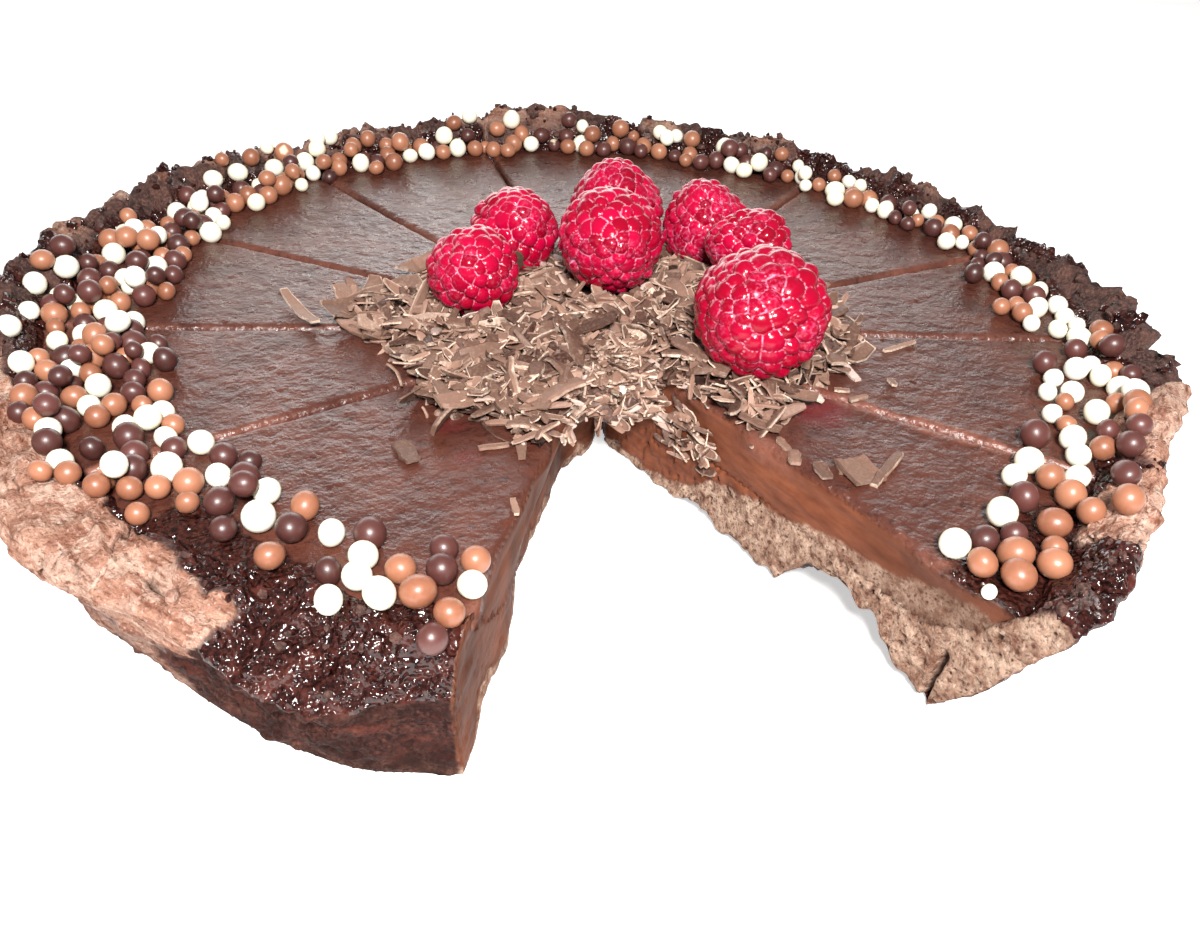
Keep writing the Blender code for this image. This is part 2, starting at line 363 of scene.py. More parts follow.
CRUST_POINTS = node_points("crust")
FILLING_POINTS = node_points("ganache")
FILLING_RIM = FILLING_POINTS[FILLING_POINTS[:, 2] > FILLING_TOP - 1]
RIM_RADIUS = outline(CRUST_POINTS, polar(CRUST_POINTS)[1])
RIM_HEIGHT = outline(CRUST_POINTS, CRUST_POINTS[:, 2])
FILLING_RADIUS = outline(FILLING_RIM, polar(FILLING_RIM)[1])


# ---------------------------------------------------------------- meshes

def bake_modifiers(piece):
    """Replace a piece's mesh by what its modifiers make of it."""
    graph = bpy.context.evaluated_depsgraph_get()
    made = bpy.data.meshes.new_from_object(piece.evaluated_get(graph))
    before = piece.data
    piece.modifiers.clear()
    piece.data = made
    bpy.data.meshes.remove(before)


def read_points(mesh):
    """A mesh's vertices, in millimetres, and their normals."""
    points = np.empty(len(mesh.vertices) * 3)
    mesh.vertices.foreach_get("co", points)
    normals = np.empty(len(mesh.vertices) * 3)
    mesh.vertices.foreach_get("normal", normals)
    return points.reshape(-1, 3) / MM, normals.reshape(-1, 3)


def write_points(mesh, points):
    mesh.vertices.foreach_set("co", (points * MM).ravel())
    mesh.update()


def add_layers(mesh, **layers):
    """Store values on the vertices for the materials to read."""
    for name, values in layers.items():
        layer = mesh.attributes.new(name, "FLOAT", "POINT")
        layer.data.foreach_set("value", np.asarray(values, np.float32))


def mesh_from_arrays(name, points, faces):
    """A mesh from points in millimetres and lists of faces of one size each."""
    counts = np.concatenate([np.full(len(group), group.shape[1]) for group in faces])
    corners = np.concatenate([group.ravel() for group in faces])
    starts = np.concatenate([[0], np.cumsum(counts)[:-1]])
    mesh = bpy.data.meshes.new(name)
    mesh.vertices.add(len(points))
    mesh.vertices.foreach_set("co", (points * MM).ravel())
    mesh.loops.add(len(corners))
    mesh.loops.foreach_set("vertex_index", corners.astype(np.int32))
    mesh.polygons.add(len(counts))
    mesh.polygons.foreach_set("loop_start", starts.astype(np.int32))
    mesh.update(calc_edges=True)
    mesh.validate()
    return mesh


def add_piece(name, mesh, materials, smooth_shading=True, second=None):
    """Show a mesh as a piece of the tart, with its materials in the mesh's slots. `second` says
    how much of the second material each point has, from 0 to 1."""
    mesh.materials.clear()
    for material in materials:
        mesh.materials.append(material)
    mesh.polygons.foreach_set("use_smooth", np.full(len(mesh.polygons), smooth_shading))
    if second is not None:
        corners = np.empty(len(mesh.loops), np.int32)
        mesh.loops.foreach_get("vertex_index", corners)
        starts = np.empty(len(mesh.polygons), np.int32)
        mesh.polygons.foreach_get("loop_start", starts)
        sizes = np.diff(np.append(starts, len(corners)))
        share = np.add.reduceat(second[corners], starts) / sizes
        mesh.polygons.foreach_set("material_index", (share > 0.5).astype(np.int32))
    piece = bpy.data.objects.get(name) or bpy.data.objects.new(name, mesh)
    if piece.name not in bpy.context.scene.collection.objects:
        bpy.context.scene.collection.objects.link(piece)
    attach(piece, "root")
    return piece


def remeshed(name, node, voxel, rounds):
    """A copy of a CAD node's solid as one even, slightly rounded mesh."""
    piece = bpy.data.objects.new(name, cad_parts[node].data.copy())
    bpy.context.scene.collection.objects.link(piece)
    remesh = piece.modifiers.new("Remesh", "REMESH")
    remesh.mode = "VOXEL"
    remesh.voxel_size = voxel * MM
    if rounds:
        soften = piece.modifiers.new("Smooth", "SMOOTH")
        soften.factor = 0.5
        soften.iterations = rounds
    bake_modifiers(piece)
    return piece


def thin_out(piece, hidden):
    """Keep only a few of the faces where no one can look."""
    mesh = piece.data
    group = piece.vertex_groups.new(name="hidden")
    group.add(np.flatnonzero(hidden).tolist(), 1.0, "REPLACE")
    corners = np.empty(len(mesh.loops), np.int32)
    mesh.loops.foreach_get("vertex_index", corners)
    share = hidden[corners].mean()
    decimate = piece.modifiers.new("Decimate", "DECIMATE")
    decimate.vertex_group = group.name
    decimate.ratio = 1 - share * (1 - HIDDEN_SHARE)
    bake_modifiers(piece)
    piece.vertex_groups.clear()


def sphere_mesh(subdivisions):
    """The points and triangles of a round mesh of radius 1."""
    bm = bmesh.new()
    bmesh.ops.create_icosphere(bm, subdivisions=subdivisions, radius=1.0)
    points = np.array([vert.co for vert in bm.verts])
    faces = np.array([[vert.index for vert in face.verts] for face in bm.faces])
    bm.free()
    return points, faces


def turned(headings, leans, rolls):
    """Rotation matrices, one a row: a roll about X, a lean about Y, a heading about Z."""
    def about(axis, angles):
        first, second = [i for i in range(3) if i != axis]
        made = np.tile(np.eye(3), (len(angles), 1, 1))
        sign = -1 if axis == 1 else 1
        made[:, first, first] = made[:, second, second] = np.cos(angles)
        made[:, first, second] = -sign * np.sin(angles)
        made[:, second, first] = sign * np.sin(angles)
        return made

    return about(2, headings) @ about(1, leans) @ about(0, rolls)


# ---------------------------------------------------------------- materials

# Colours of ganache that the knife dragged down a cut face, and the painted shade laid over the gap's
# faces.
CUT_DARK = (0.088, 0.026, 0.0135)
CUT_LIGHT = (0.190, 0.062, 0.031)
CUT_SHADE = (0.046, 0.017, 0.010)


class Nodes:
    """A material's nodes, added by short calls."""

    def __init__(self, name, **settings):
        self.material = bpy.data.materials.new(name)
        self.material.use_nodes = True
        self.tree = self.material.node_tree
        self.surface = self.tree.nodes["Principled BSDF"]
        self.place = self.tree.nodes.new("ShaderNodeTexCoord").outputs["Object"]
        self.set(self.surface, settings)

    def set(self, node, values):
        for name, value in values.items():
            socket = node.inputs[name]
            if isinstance(value, bpy.types.NodeSocket):
                self.tree.links.new(value, socket)
            else:
                socket.default_value = value

    def add(self, kind, values=None, **settings):
        node = self.tree.nodes.new("ShaderNode" + kind)
        for name, value in settings.items():
            setattr(node, name, value)
        self.set(node, values or {})
        return node

    def layer(self, name):
        """A value stored on the mesh."""
        return self.add("Attribute", attribute_name=name).outputs["Fac"]

    def unrolled(self):
        """The place in metres round the tart's axis, out from it and up."""
        parts = self.add("SeparateXYZ", {"Vector": self.place}).outputs
        turn = self.maths("MULTIPLY", self.maths("ARCTAN2", parts[1], parts[0]), 110 * MM)
        squares = [self.maths("MULTIPLY", parts[i], parts[i]) for i in range(2)]
        out = self.maths("SQRT", self.maths("ADD", *squares))
        return self.add("CombineXYZ", {"X": turn, "Y": out, "Z": parts[2]}).outputs[0]

    def grain(self, size, detail=3.0, roughness=0.6, stretch=(1, 1, 1), place=None):
        """Noise from 0 to 1 with grains of about `size` millimetres."""
        scale = self.add("Mapping", {"Vector": place or self.place, "Scale": stretch})
        values = {
            "Vector": scale.outputs[0],
            "Scale": 1 / (size * MM),
            "Detail": detail,
            "Roughness": roughness,
        }
        return self.add("TexNoise", values).outputs["Fac"]

    def cells(self, size, feature="F1"):
        """Distances between scattered spots about `size` millimetres apart."""
        values = {"Vector": self.place, "Scale": 1 / (size * MM)}
        return self.add("TexVoronoi", values, feature=feature).outputs["Distance"]

    def tiles(self, size):
        """A value of its own for each ragged patch of about `size` millimetres."""
        values = {"Vector": self.place, "Scale": 1.2 / (size * MM), "Detail": 3.0}
        drift = self.add("TexNoise", values).outputs["Color"]
        spread = (size * MM,) * 3
        moved = self.add("VectorMath", operation="MULTIPLY_ADD")
        for socket, value in zip(moved.inputs, (drift, spread, self.place)):
            if isinstance(value, tuple):
                socket.default_value = value
            else:
                self.tree.links.new(value, socket)
        values = {"Vector": moved.outputs[0], "Scale": 1 / (size * MM)}
        return self.add("TexVoronoi", values).outputs["Color"]

    def maths(self, operation, first, second=0.0):
        node = self.add("Math", operation=operation)
        for socket, value in zip(node.inputs, (first, second)):
            if isinstance(value, bpy.types.NodeSocket):
                self.tree.links.new(value, socket)
            else:
                socket.default_value = value
        return node.outputs[0]

    def stretch(self, value, low, high, to_low=0.0, to_high=1.0):
        """A value from one range, clamped and moved to another."""
        values = {
            "Value": value,
            "From Min": low,
            "From Max": high,
            "To Min": to_low,
            "To Max": to_high,
        }
        return self.add("MapRange", values, clamp=True).outputs["Result"]

    def mix(self, share, first, second):
        """A blend of two colours, each a socket or (red, green, blue)."""
        node = self.add("Mix", data_type="RGBA")
        sockets = {socket.identifier: socket for socket in node.inputs}
        pairs = (("Factor_Float", share), ("A_Color", first), ("B_Color", second))
        for name, value in pairs:
            if isinstance(value, bpy.types.NodeSocket):
                self.tree.links.new(value, sockets[name])
            elif name == "Factor_Float":
                sockets[name].default_value = value
            else:
                sockets[name].default_value = (*value, 1.0)
        return next(out for out in node.outputs if out.identifier == "Result_Color")

    def bump(self, height, depth, strength=1.0, below=None):
        """Normals for a height from 0 to 1 that stands for `depth` millimetres."""
        values = {"Height": height, "Distance": depth * MM, "Strength": strength}
        if below is not None:
            values["Normal"] = below
        return self.add("Bump", values).outputs["Normal"]


def porous_crumb(nodes, fine, patch):
    """Colours of crust that a knife went through."""
    grit = nodes.grain(1.9, detail=4, roughness=0.7)
    face = nodes.mix(nodes.stretch(patch, 0.35, 0.65), (0.19, 0.098, 0.066), (0.40, 0.270, 0.200))
    face = nodes.mix(nodes.stretch(grit, 0.52, 0.72, 0.0, 0.85), face, (0.56, 0.41, 0.32))
    face = nodes.mix(nodes.stretch(grit, 0.48, 0.33), face, (0.105, 0.045, 0.031))
    face = nodes.mix(nodes.stretch(fine, 0.47, 0.32, 0.0, 0.9), face, (0.070, 0.030, 0.021))
    rare = nodes.stretch(nodes.grain(4.0, detail=2), 0.48, 0.60)
    # Painted shade: dark spots for the shade down in the crumb's pores.
    pore_shade = nodes.maths("MULTIPLY", nodes.stretch(nodes.cells(1.6), 0.24, 0.12), rare)
    return nodes.mix(pore_shade, face, (0.045, 0.022, 0.017))


def light_crust(nodes, fine, patch, streaks):
    """Colours of the bare crust: pale, flaky, with fine streaks round the tart. Its palest patches and
    flecks are partly painted highlights.
    """
    mottle_and_highlights = nodes.tiles(4.5)
    bare = nodes.mix(nodes.stretch(patch, 0.35, 0.62), (0.265, 0.114, 0.076), (0.46, 0.26, 0.188))
    # Partly painted highlights: the pale patches here and the pale flecks below are pale crust and light
    # caught on its flat flakes.
    bare = nodes.mix(nodes.stretch(mottle_and_highlights, 0.52, 0.72, 0.0, 0.45), bare, (0.61, 0.435, 0.35))
    bare = nodes.mix(nodes.stretch(streaks, 0.54, 0.70, 0.0, 0.7), bare, (0.68, 0.49, 0.40))
    bare = nodes.mix(nodes.stretch(streaks, 0.47, 0.33, 0.0, 0.9), bare, (0.15, 0.054, 0.031))
    bare = nodes.mix(nodes.stretch(fine, 0.57, 0.76, 0.0, 0.6), bare, (0.80, 0.65, 0.56))
    return nodes.mix(nodes.stretch(fine, 0.43, 0.29, 0.0, 0.8), bare, (0.13, 0.046, 0.029))


def crust_material(name, shine, gloss_limits):
    """Dry crumb, bare light crust, the porous crumb of a cut, and dark ganache soaked in, whose
    roughness stays within the gloss limits."""
    nodes = Nodes(name, **{"Specular IOR Level": shine})
    light, wet, cut = nodes.layer("light"), nodes.layer("wet"), nodes.layer("cut")
    smear, hollow, shade = nodes.layer("smear"), nodes.layer("hollow"), nodes.layer("shade")
    fine = nodes.grain(0.7, detail=5)
    patch = nodes.grain(5.0, detail=4)
    flow = nodes.unrolled()
    streaks = nodes.grain(1.2, detail=4, roughness=0.62, stretch=(0.22, 1, 1), place=flow)

    crumb = nodes.mix(nodes.stretch(patch, 0.4, 0.65), (0.028, 0.010, 0.009), (0.100, 0.042, 0.032))
    crumb = nodes.mix(nodes.stretch(fine, 0.45, 0.75), crumb, (0.18, 0.090, 0.066))
    soaked = nodes.mix(nodes.stretch(fine, 0.4, 0.7), (0.008, 0.0025, 0.0025), (0.052, 0.013, 0.010))
    soaked = nodes.mix(nodes.stretch(patch, 0.5, 0.7, 0.0, 0.7), soaked, (0.085, 0.020, 0.014))
    streak = nodes.grain(2.0, detail=3, stretch=(0.25, 0.25, 1.0))
    smeared = nodes.mix(nodes.stretch(streak, 0.28, 0.75), CUT_DARK, CUT_LIGHT)

    colour = nodes.mix(light, crumb, light_crust(nodes, fine, patch, streaks))
    colour = nodes.mix(cut, colour, porous_crumb(nodes, fine, patch))
    # Painted shade: darker in the hollows between crumbs, in cracks, pits and the slot, and on the
    # overhanging front wall.
    colour = nodes.mix(nodes.stretch(hollow, 0.3, 1.0), colour, (0.022, 0.009, 0.007))
    colour = nodes.mix(wet, colour, soaked)
    colour = nodes.mix(smear, colour, smeared)
    colour = nodes.mix(shade, colour, CUT_SHADE)
    nodes.set(nodes.surface, {"Base Color": colour})
    gloss = nodes.stretch(patch, 0.35, 0.65, *gloss_limits)
    dry = nodes.stretch(smear, 0.0, 1.0, 0.85, 0.58)
    nodes.set(nodes.surface, {"Roughness": nodes.stretch(wet, 0.0, 1.0, dry, gloss)})
    beads = nodes.stretch(nodes.cells(0.95, "SMOOTH_F1"), 0.0, 0.8, 1.0, 0.0)
    swell = nodes.maths("ADD", beads, nodes.grain(1.9, detail=1))
    wrinkles = nodes.maths("MULTIPLY", nodes.maths("MULTIPLY", streaks, light), 0.8)
    rough = nodes.maths("MULTIPLY", fine, nodes.stretch(smear, 0.0, 1.0, 1.0, 0.12))
    rough = nodes.maths("ADD", rough, wrinkles)
    height = nodes.maths("ADD", nodes.maths("MULTIPLY", rough, nodes.maths("SUBTRACT", 1.0, wet)),
                         nodes.maths("MULTIPLY", swell, nodes.maths("MULTIPLY", wet, 0.7)))
    nodes.set(nodes.surface, {"Normal": nodes.bump(height, 1.0, 0.95)})
    return nodes.material


def ganache_material(name, shine):
    """Satin dark ganache, lighter where the knife smeared it, with crumb stuck low on a cut."""
    nodes = Nodes(name, **{"Specular IOR Level": shine})
    smear, face, juice = nodes.layer("smear"), nodes.layer("face"), nodes.layer("juice")
    crumb, shade, soaked = nodes.layer("crumb"), nodes.layer("shade"), nodes.layer("soaked")
    broad = nodes.grain(14.0, detail=2)
    fine = nodes.grain(1.6, detail=4)
    grit = nodes.grain(0.7, detail=5)
    streak = nodes.grain(2.0, detail=3, stretch=(0.25, 0.25, 1.0))

    top = nodes.mix(nodes.stretch(broad, 0.35, 0.65), (0.058, 0.0175, 0.012), (0.094, 0.029, 0.0185))
    top = nodes.mix(nodes.stretch(fine, 0.45, 0.25), top, (0.024, 0.007, 0.005))
    cut = nodes.mix(nodes.stretch(streak, 0.28, 0.75), CUT_DARK, CUT_LIGHT)
    lip = nodes.mix(nodes.stretch(fine, 0.3, 0.7), (0.14, 0.048, 0.033), (0.27, 0.110, 0.078))
    colour = nodes.mix(face, top, cut)
    colour = nodes.mix(smear, colour, lip)
    colour = nodes.mix(juice, colour, (0.12, 0.010, 0.014))
    syrup = nodes.mix(nodes.stretch(grit, 0.4, 0.7), (0.009, 0.003, 0.0025), (0.060, 0.014, 0.010))
    colour = nodes.mix(soaked, colour, syrup)
    colour = nodes.mix(crumb, colour, porous_crumb(nodes, grit, nodes.grain(5.0, detail=4)))
    colour = nodes.mix(shade, colour, CUT_SHADE)
    nodes.set(nodes.surface, {"Base Color": colour})
    sheen = nodes.stretch(nodes.grain(4.0), 0.35, 0.65, 0.24, 0.36)
    dull = nodes.stretch(crumb, 0.0, 1.0, nodes.stretch(face, 0.0, 1.0, sheen, 0.56), 0.85)
    nodes.set(nodes.surface, {"Roughness": nodes.stretch(soaked, 0.0, 1.0, dull, 0.17)})
    beads = nodes.stretch(nodes.cells(1.1, "SMOOTH_F1"), 0.0, 0.8, 1.6, 0.0)
    soft = nodes.maths("MULTIPLY", fine, nodes.stretch(face, 0.0, 1.0, 1.0, 0.3))
    soft = nodes.maths("ADD", soft, nodes.maths("MULTIPLY", beads, soaked))
    height = nodes.maths("ADD", soft, nodes.maths("MULTIPLY", grit, crumb))
    ripple = nodes.bump(height, 0.6, 0.65)
    waves = nodes.maths("MULTIPLY", nodes.grain(3.4, detail=2), nodes.stretch(face, 0.0, 1.0, 1.0, 0.2))
    ripple = nodes.bump(waves, 0.9, 0.5, below=ripple)
    nodes.set(nodes.surface, {"Normal": ripple})
    return nodes.material


def raspberry_material():
    """Glossy red drupelets with pale down in the creases between them."""
    nodes = Nodes(
        "raspberry",
        **{
            "Subsurface Weight": 0.06,
            "Subsurface Radius": (1.0, 0.25, 0.2),
            "Subsurface Scale": 0.0025,
            "Specular IOR Level": 0.27,
        },
    )
    crease, tone, base = nodes.layer("crease"), nodes.layer("tone"), nodes.layer("base")
    down = nodes.layer("down")
    fine = nodes.grain(0.8, detail=4)
    flesh = nodes.mix(tone, (0.235, 0.0004, 0.012), (0.41, 0.0012, 0.034))
    patchy = nodes.stretch(nodes.grain(3.0, detail=2), 0.35, 0.62, 0.25, 1.0)
    frost = nodes.maths("MULTIPLY", nodes.stretch(nodes.maths("ADD", crease, fine), 0.82, 1.40), patchy)
    veil = nodes.maths("MULTIPLY", nodes.stretch(fine, 0.48, 0.8, 0.0, 0.7), down)
    colour = nodes.mix(frost, flesh, (0.62, 0.25, 0.36))
    colour = nodes.mix(veil, colour, (0.54, 0.12, 0.25))
    colour = nodes.mix(base, colour, (0.75, 0.50, 0.42))
    nodes.set(nodes.surface, {"Base Color": colour})
    dull = nodes.maths("MAXIMUM", frost, veil)
    nodes.set(nodes.surface, {"Roughness": nodes.stretch(dull, 0.0, 1.0, 0.17, 0.6)})
    nodes.set(nodes.surface, {"Normal": nodes.bump(fine, 0.10, 0.5)})
    return nodes.material


def shavings_material():
    """Matte shaved chocolate, with pale broken edges."""
    nodes = Nodes("shavings", **{"Specular IOR Level": 0.28})
    tone, edge = nodes.layer("tone"), nodes.layer("edge")
    fine = nodes.grain(0.6, detail=4)
    flutes = nodes.stretch(fine, 0.48, 0.8, 0.0, 0.4)
    face = nodes.mix(tone, (0.046, 0.018, 0.012), (0.305, 0.176, 0.128))
    face = nodes.mix(nodes.stretch(tone, 0.95, 1.0), face, (0.52, 0.41, 0.37))
    face = nodes.mix(flutes, face, (0.36, 0.235, 0.178))
    # Painted shade: negative tones, which only the heap's core has, turn near-black like the shade deep
    # between the flakes.
    face = nodes.mix(nodes.stretch(tone, 0.0, -0.8), face, (0.014, 0.006, 0.005))
    broken = nodes.mix(nodes.stretch(fine, 0.3, 0.7), (0.33, 0.210, 0.155), (0.80, 0.64, 0.52))
    pale = nodes.stretch(edge, 0.42, 0.95)
    nodes.set(nodes.surface, {"Base Color": nodes.mix(pale, face, broken)})
    nodes.set(nodes.surface, {"Roughness": nodes.stretch(edge, 0.0, 1.0, 0.5, 0.75)})
    nodes.set(nodes.surface, {"Normal": nodes.bump(fine, 0.2, 0.6)})
    return nodes.material


def pearl_material(kind, pale, deep, inside):
    """A polished sugar pearl. Its colour drifts a little, and a broken shell shows its inside."""
    nodes = Nodes(
        "pearl_" + kind,
        **{"Specular IOR Level": 0.6},
    )
    tone, chip = nodes.layer("tone"), nodes.layer("chip")
    colour = nodes.mix(tone, deep, pale)
    colour = nodes.mix(nodes.stretch(nodes.grain(1.4), 0.35, 0.75, 0.0, 0.35), colour, pale)
    colour = nodes.mix(chip, colour, inside)
    nodes.set(nodes.surface, {"Base Color": colour})
    nodes.set(nodes.surface, {"Roughness": nodes.stretch(chip, 0.0, 1.0, 0.39, 0.8)})
    nodes.set(nodes.surface, {"Normal": nodes.bump(nodes.grain(0.9, detail=2), 0.06, 0.5)})
    return nodes.material


def leaf_material():
    """A dried scrap of the raspberry's leaf."""
    nodes = Nodes("leaf", **{"Specular IOR Level": 0.3})
    fine = nodes.grain(0.9, detail=4)
    nodes.set(nodes.surface, {"Base Color": nodes.mix(fine, (0.045, 0.030, 0.020), (0.15, 0.100, 0.060))})
    nodes.set(nodes.surface, {"Roughness": nodes.stretch(fine, 0.2, 0.8, 0.55, 0.8)})
    nodes.set(nodes.surface, {"Normal": nodes.bump(fine, 0.2, 0.7)})
    return nodes.material


def floor_material():
    nodes = Nodes("floor", **{"Roughness": 0.7, "Specular IOR Level": 0.2})
    white = nodes.mix(nodes.grain(60.0), (0.80, 0.80, 0.80), (0.84, 0.84, 0.84))
    nodes.set(nodes.surface, {"Base Color": white, "Emission Color": (1, 1, 1, 1)})
    nodes.set(nodes.surface, {"Emission Strength": 0.54})
    return nodes.material


# ---------------------------------------------------------------- crust

def gap_distance(points, number):
    """How far each point of a slice is from the face that the gap leaves open, if it has one."""
    away = np.full(len(points), 99.0)
    if number == 1:
        away = np.abs(cut_frame(points, CUT_ANGLES[0])[0])
    if number == SLICES:
        away = np.abs(cut_frame(points, CUT_ANGLES[-1])[0])
    return away


def inner_cut_distance(points, number):
    """How far each point of a slice is from the cuts that it shares with a neighbour."""
    away = np.full(len(points), 99.0)
    if number > 1:
        away = np.minimum(away, np.abs(cut_frame(points, CUT_ANGLES[number - 1])[0]))
    if number < SLICES:
        away = np.minimum(away, np.abs(cut_frame(points, CUT_ANGLES[number])[0]))
    return away


def hidden_crust(points, number):
    """Which points lie under the filling, against a neighbour or on the plate."""
    angles, radii = polar(points)
    rim = on_ring(angles, RIM_RADIUS)
    filling = on_ring(angles, FILLING_RADIUS)
    height = points[:, 2]
    below = (height < 0.6) & (radii < 98)
    covered = (height > 8) & (radii < filling - 2.5)
    depth = on_ring(angles, RIM_HEIGHT) - height
    joint = (inner_cut_distance(points, number) < 0.7) & (radii < rim - 4) & (depth > 5)
    return (below | covered | joint) & (gap_distance(points, number) > 2)


def crust_zones(points, normals, number):
    """How much of each kind of surface every point has, from 0 to 1."""
    angles, radii = polar(points)
    height = points[:, 2]
    rim = on_ring(angles, RIM_RADIUS)
    filling = on_ring(angles, FILLING_RADIUS)
    ragged = 2.2 * noise(points, 7, 11) + 1.1 * noise(points, 2.4, 12)
    bare = smooth(radii - on_ring(angles, LIGHT_CRUST) + ragged, -0.5, 0.9)
    below = smooth(height, 19, 15)
    tan_wall = between(angles, 172, 233, 5) * smooth(noise(points, 6, 13), -0.5, 0.3) * 0.6
    bare = bare * (1 - below) + tan_wall * below
    tan_crest = between(angles, 25, 162, 6) * smooth(radii, rim - 8, rim - 4)
    bare = np.maximum(bare, 0.75 * tan_crest * smooth(noise(points, 10, 16), 0.12, 0.35))
    tongue = np.interp(height, (8, 18, 27, 33), (222.0, 225.0, 229.0, 234.0))
    tongue += 1.3 * noise(points, 4.5, 14) + 0.6 * noise(points, 1.8, 15)
    bare *= np.where(angles < 280, smooth(angles, tongue + 0.4, tongue - 0.3), 1)

    top = smooth(normals[:, 2], 0.0, 0.45)
    front = between(angles, 222, 252, 3)
    edge = between(angles, 286, 305, 4)
    coated = smooth(filling + 4.0 + 2.5 * noise(points, 6, 21) - radii, -1.0, 1.0)
    patches = smooth(rough_noise(points, 9, 31, 2), 0.05, 0.35)
    wall = 1 - smooth(normals[:, 2], -0.35, 0.1)
    wet = np.maximum(coated, patches * (1 - wall))
    wet = np.maximum(wet, front * smooth(height + 3 * noise(points, 5, 22), 2, 6))
    wet = np.maximum(wet, edge * top * smooth(noise(points, 4, 23), -0.7, -0.2))
    wet = wet * (1 - bare) * (1 - 0.6 * wall * front)

    open_face = smooth(gap_distance(points, number), 1.1, 0.4)
    return bare, wet, open_face, wall, rim


def filling_edge(along):
    """How high the ganache of the right face reaches down, at each distance from the centre."""
    return np.interp(along, (20, 30, 38, 52, 72, 86, 95), (2.0, 5.0, 11.0, 14.5, 19.0, 20.5, 25.0))


def face_recess(points, near):
    """How far the gap's left face leans back, in mm, under the filling's edge."""
    _, along = cut_frame(points, CUT_ANGLES[-1])
    deep = smooth(points[:, 2], 24, 9) * smooth(along, 76, 50) * smooth(along, 4, 18)
    return 4.5 * deep * smooth(near, 10, 1)


def gap_face_shape(points, number):
    """Sideways push into the slice and lift off the plate, in mm, for a slice's open face, with
    how much painted shade each point gets down in a hole."""
    angle = CUT_ANGLES[0] if number == 1 else CUT_ANGLES[-1]
    _, along = cut_frame(points, angle)
    near = gap_distance(points, number)
    on_face = smooth(near, 1.0, 0.3)
    height = points[:, 2]

    pit, kind = cell_noise(points, 2.3, 41)
    pits = smooth(pit, 0.30, 0.10) * (kind > 0.35)
    grain = rough_noise(points, 1.6, 45, 2)
    push = on_face * (1.1 * pits + 0.42 * grain + 0.4 * noise(points, 4.5, 40))
    if number == 1:
        hole = np.interp(along, (60, 66, 77, 84, 89), (0.0, 4.5, 9.5, 6.5, 0.0))
        crack = smooth(np.abs(along - 97 - 0.12 * (height - 8) + noise(points, 3.0, 49)), 1.1, 0.1)
        crack *= between(height, -2, 11, 3)
        push += on_face * 3.0 * crack
        pits = np.maximum(pits, crack)
        ledge = 1.8 * between(along, 34, 92, 6) * (1 + 0.9 * noise(points, (11.0, 11.0, 99.0), 46))
        ledge += hole * (1 + 0.2 * noise(points, (4.0, 4.0, 99.0), 39))
    else:
        ledge = 5.0 * between(along, 56, 90, 5) * (1 + 0.35 * noise(points, (9.0, 9.0, 99.0), 47))
    ledge += 0.9 + 1.2 * noise(points, (2.4, 2.4, 99.0), 48)
    reach = 11.0
    lift = np.maximum(ledge, 0) * smooth(near, reach, 0.0)
    return push, lift, pits * on_face


def face_drag(points, angle):
    """Ridges, in mm, that the knife left as it dragged ganache down and along a cut face."""
    _, along = cut_frame(points, angle)
    track = np.stack([along + 0.8 * points[:, 2], points[:, 2], 0 * along], axis=1)
    return 0.40 * noise(track, (16.0, 3.0, 9.0), 141) + 0.14 * noise(track, (5.0, 1.2, 9.0), 142)


def face_shade(points, number, share):
    """Painted shade on the gap's faces: on the left one in streaks along the knife's drag, and
    on the right one towards the rim."""
    if number == 1:
        _, along = cut_frame(points, CUT_ANGLES[0])
        return share * smooth(along + 4 * noise(points, 5, 163), 62, 96) * 0.6
    if number != SLICES:
        return np.zeros(len(points))
    _, along = cut_frame(points, CUT_ANGLES[-1])
    track = np.stack([along + 0.5 * points[:, 2], 0.25 * points[:, 2], 0 * along], axis=1)
    streaks = noise(track, 5.0, 161) + 0.6 * noise(track, 1.8, 162)
    return share * np.clip(0.42 + 0.30 * streaks, 0, 0.85)


